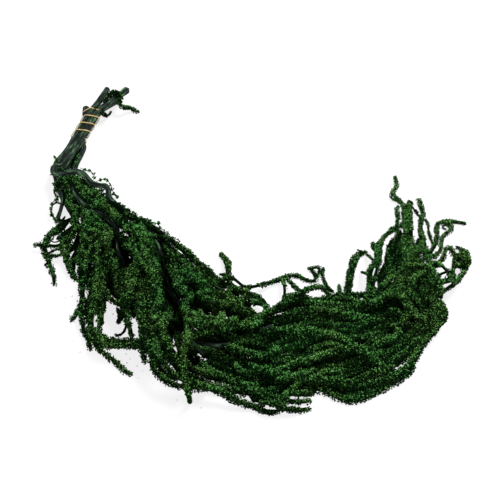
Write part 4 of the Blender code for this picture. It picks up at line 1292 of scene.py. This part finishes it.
def stays_clear(points, radii):
    """Whether a rope here stays inside the outline and leaves the bare stems and the gaps in view."""
    corners = np.array(OUTLINE, float)
    inside = np.zeros(len(points), bool)
    for (ax, ay), (bx, by) in zip(corners, np.roll(corners, -1, axis=0)):
        spans = (ay > points[:, 1]) != (by > points[:, 1])
        crossing = ax + (points[:, 1] - ay) * (bx - ax) / (by - ay if by != ay else 1.0)
        inside ^= spans & (points[:, 0] < crossing)
    if not inside.all() or (distances(points, OUTLINE_LINE) < OUTLINE_MARGIN * radii).any():
        return False
    for line, width in BARE_LINES:
        if (distances(points, line) < radii + width).sum() > MOST_OVER_STEM:
            return False
    return all((np.hypot(points[:, 0] - x, points[:, 1] - y) > radii + size).all() for x, y, size in GAPS)


def between(first, second, low, high):
    """The picture points and the thickness of a new rope between two strands."""
    start = rng.uniform(low, low + BETWEEN_START * (high - low))
    end = min(high, start + rng.uniform(*BETWEEN_LENGTH))
    longest = max(first.length, second.length)
    count = max(BETWEEN_POINTS, int((end - start) * longest / LINE_STEP))
    share = np.linspace(start, end, count)
    side = rng.uniform(*BETWEEN_SIDE) + SIDE_WANDER * wander(count, LINE_STEP, SIDE_TURN)
    side = np.clip(side, *SIDE_LIMITS)[:, None]
    points = ((1 - side) * at_lengths(pictured(first.points), first.along / first.length, share)
              + side * at_lengths(pictured(second.points), second.along / second.length, share))
    slope = unit(np.gradient(points, axis=0))
    push = WANDER_WIDTH * wander(count, LINE_STEP, WANDER_TURN)
    points = points + push[:, None] * np.column_stack([-slope[:, 1], slope[:, 0]])
    return points, rng.uniform(*BETWEEN_THICKNESS)


def tuft(box, thicknesses, lengths, heading, spread):
    """The picture points and the thickness of a short curved tassel."""
    start = rng.uniform(box[:2], box[2:])
    count = int(rng.uniform(*lengths) / LINE_STEP)
    angles = np.radians(heading + rng.uniform(-spread, spread)
                        + rng.uniform(-TUFT_CURL, TUFT_CURL) * np.arange(count))
    steps = LINE_STEP * np.column_stack([np.cos(angles), np.sin(angles)])
    return start + np.cumsum(steps, axis=0), rng.uniform(*thicknesses)


def finished(piece, nodes=()):
    """Sets what a piece rides on, and hides the solids that it stands for."""
    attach(piece, "root")
    if nodes:
        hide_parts(*nodes)


def beaded(twigs):
    """Bare twigs with beads of flowers along them."""
    beads = Flowers("beaded_twigs")
    for twig in twigs:
        tube, sides, shades = core_of(Strand(twig.points, TWIG_CORE * twig.radii))
        beads.add(tube, sides, shades + TWIG_SHADE)
        wanted = np.arange(BEAD_EVERY, twig.length, BEAD_EVERY)
        wanted = wanted + rng.uniform(-BEAD_JITTER, BEAD_JITTER, len(wanted))
        centres = twig.frames(wanted)[0]
        ways = unit(rng.normal(size=(len(wanted), GRAINS_PER_BEAD, 3)))
        sizes = rng.uniform(*BEAD_SIZE, len(wanted))[:, None]
        places = centres[:, None] + BEAD_STAND * sizes[..., None] * ways
        small = np.repeat(BEAD_GRAIN * sizes, GRAINS_PER_BEAD, axis=1)
        shades = np.full(len(wanted) * GRAINS_PER_BEAD, BEAD_SHADE)
        beads.add(*grains(places.reshape(-1, 3), ways.reshape(-1, 3), small.ravel(), shades))
    return beads


def fallen_flowers():
    """Loose flowers on the table."""
    fallen = Flowers("fallen_flowers")
    lines = sight_lines(FALLEN)
    sizes = rng.uniform(*FALLEN_SIZE, len(FALLEN))
    places = EYE + ((EYE[2] - sizes) / -lines[:, 2])[:, None] * lines
    ways = unit(rng.normal(size=places.shape) * FALLEN_LIE)
    fallen.add(*grains(places, ways, sizes, np.full(len(FALLEN), FALLEN_SHADE)))
    return fallen


def sight_blockers(cores, solids):
    """A tree of all that can hide a flower: the ropes' cores, the stems and the band."""
    corners = [core[0] for core in cores]
    faces = [core[1] for core in cores]
    for solid in solids:
        solid.data.calc_loop_triangles()
        places = np.empty(3 * len(solid.data.vertices))
        solid.data.vertices.foreach_get("co", places)
        corners.append(places.reshape(-1, 3) / MM)
        triangles = np.empty(3 * len(solid.data.loop_triangles), int)
        solid.data.loop_triangles.foreach_get("vertices", triangles)
        faces.append(triangles.reshape(-1, 3))
    starts = np.cumsum([0] + [len(places) for places in corners[:-1]])
    faces = np.vstack([triangles + start for triangles, start in zip(faces, starts)])
    return BVHTree.FromPolygons(np.vstack(corners).tolist(), faces.tolist(), all_triangles=True)


def studio():
    """A white table, soft light from above and from the sides, and the eye."""
    scene = bpy.context.scene
    paint, shader, _ = shader_of("white_table", Roughness=0.9, Specular_IOR_Level=0.1)
    shader.inputs["Base Color"].default_value = TABLE_COLOUR
    shader.inputs["Emission Color"].default_value = WHITE
    shader.inputs["Emission Strength"].default_value = TABLE_GLOW
    mesh = bpy.data.meshes.new("table_top")
    corners = [(TABLE_HALF * x, TABLE_HALF * y, 0.0) for x, y in ((-1, -1), (1, -1), (1, 1), (-1, 1))]
    mesh.from_pydata(corners, [], [(0, 1, 2, 3)])
    mesh.materials.append(paint)
    table = placed("table_top", mesh)
    world = bpy.data.worlds.new("soft_room")
    world.use_nodes = True
    world.node_tree.nodes["Background"].inputs["Color"].default_value = WHITE
    world.node_tree.nodes["Background"].inputs["Strength"].default_value = WORLD_STRENGTH
    scene.world = world
    for name, place, power, size in LAMPS:
        light = bpy.data.lights.new(name, "AREA")
        light.energy = power
        light.size = size
        lamp = placed(name, light)
        lamp.location = place
        lamp.rotation_euler = (-Vector(place)).to_track_quat("-Z", "Y").to_euler()
    eye = bpy.data.cameras.new("eye")
    eye.sensor_width = SENSOR_WIDTH
    eye.lens = SENSOR_WIDTH * EYE_DISTANCE / PICTURE_WIDTH
    camera = placed("eye", eye)
    camera.location = EYE * MM
    camera.rotation_euler = (math.pi / 2 - EYE_ELEVATION, 0.0, 0.0)
    scene.camera = camera
    scene.view_settings.view_transform = "Standard"


bundle_end = (EYE + EYE_DISTANCE * sight_lines([BUNDLE_END])[0])[:2]
strands = {node: strand_of(node, bundle_end) for node in sorted(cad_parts)}
heap, low_heap = Heap(), Heap()
for node, strand in strands.items():
    heap.add(strand)
    if node.startswith(("under_tassel_", "stem_")):
        low_heap.add(strand)

bark = stem_paint()
pith = spotted_paint("cut_pith", PITH_SPOTS, PITH_TONES, Roughness=0.8)
rubber = spotted_paint("band_rubber", RUBBER_SPOTS, RUBBER_TONES, Roughness=0.45)
flower = flower_paint()

pieces = []
solids = []
for node, strand in strands.items():
    if node == "tie_band":
        solids.append(bark_tube("wound_band", strand, [rubber], **BAND_TUBE))
        finished(solids[-1], [node])
    elif node.startswith("stem_"):
        solids.append(bark_tube(node + "_bark", strand, [bark, pith], **STEM_TUBE))
        finished(solids[-1], [node])
    else:
        pieces.append(Flowers(node + "_flowers", [node]))
        pieces[-1].strands.append(strand)

deep = Flowers("deep_tassels")
for thickness, route in DEEP_ROPES:
    rope = lay(Heap(), route_points(route), thickness, BETWEEN_PRESSED)
    # Painted shade: the deepest ropes are darkest.
    rope.tint_and_painted_light *= DEEPEST_PAINTED_SHADE
    rope.fullness = DEEPEST_FULLNESS
    rope.density = DEEPEST_DENSITY
    deep.strands.append(rope)
pieces.append(deep)

for number, (first, second, wanted, low, high) in enumerate(BETWEEN):
    piece = Flowers(f"fine_tassels_{number + 1}")
    for _ in range(BETWEEN_TRIES * wanted):
        points, thickness = between(strands[first], strands[second], low, high)
        if stays_clear(points, rope_radii(lengths_along(points), thickness)):
            piece.strands.append(lay(low_heap, points, thickness, BETWEEN_PRESSED, screen=heap))
            if len(piece.strands) == wanted:
                break
    if piece.strands:
        pieces.append(piece)

for name, ropes, pressed, dives, tint_and_painted_light in ROPE_KINDS:
    piece = Flowers(name)
    for thickness, route in ropes:
        piece.strands.append(lay(heap, route_points(route), thickness, pressed, dives))
        # Painted light: ropes on top of the heap are paler.
        piece.strands[-1].tint_and_painted_light *= tint_and_painted_light
    pieces.append(piece)

for name, box, wanted, thicknesses, lengths, heading, spread in TUFT_AREAS:
    piece = Flowers(name)
    for _ in range(TUFT_TRIES * wanted):
        points, thickness = tuft(box, thicknesses, lengths, heading, spread)
        if stays_clear(points, rope_radii(lengths_along(points), thickness)):
            piece.strands.append(lay(heap, points, thickness, TUFT_PRESSED, (True, False)))
            if len(piece.strands) == wanted:
                break
    pieces.append(piece)

for number, (thickness, route) in enumerate(BARE_TWIGS):
    twig = lay(heap, route_points(route), thickness, TWIG_PRESSED, (True, False))
    solids.append(bark_tube(f"bare_twig_{number + 1}", twig, [bark], **TWIG_TUBE))
    finished(solids[-1])

twigs = [lay(heap, route_points(route), TWIG_THICKNESS, TWIG_PRESSED, (True, False))
         for route in BEADED_TWIGS]

cores = {strand: core_of(strand) for piece in pieces for strand in piece.strands}
tree = sight_blockers(cores.values(), solids)
for piece in pieces:
    dress(piece, cores, tree)
    finished(piece.made(flower), piece.nodes)
finished(beaded(twigs).made(flower))
finished(fallen_flowers().made(flower))

studio()
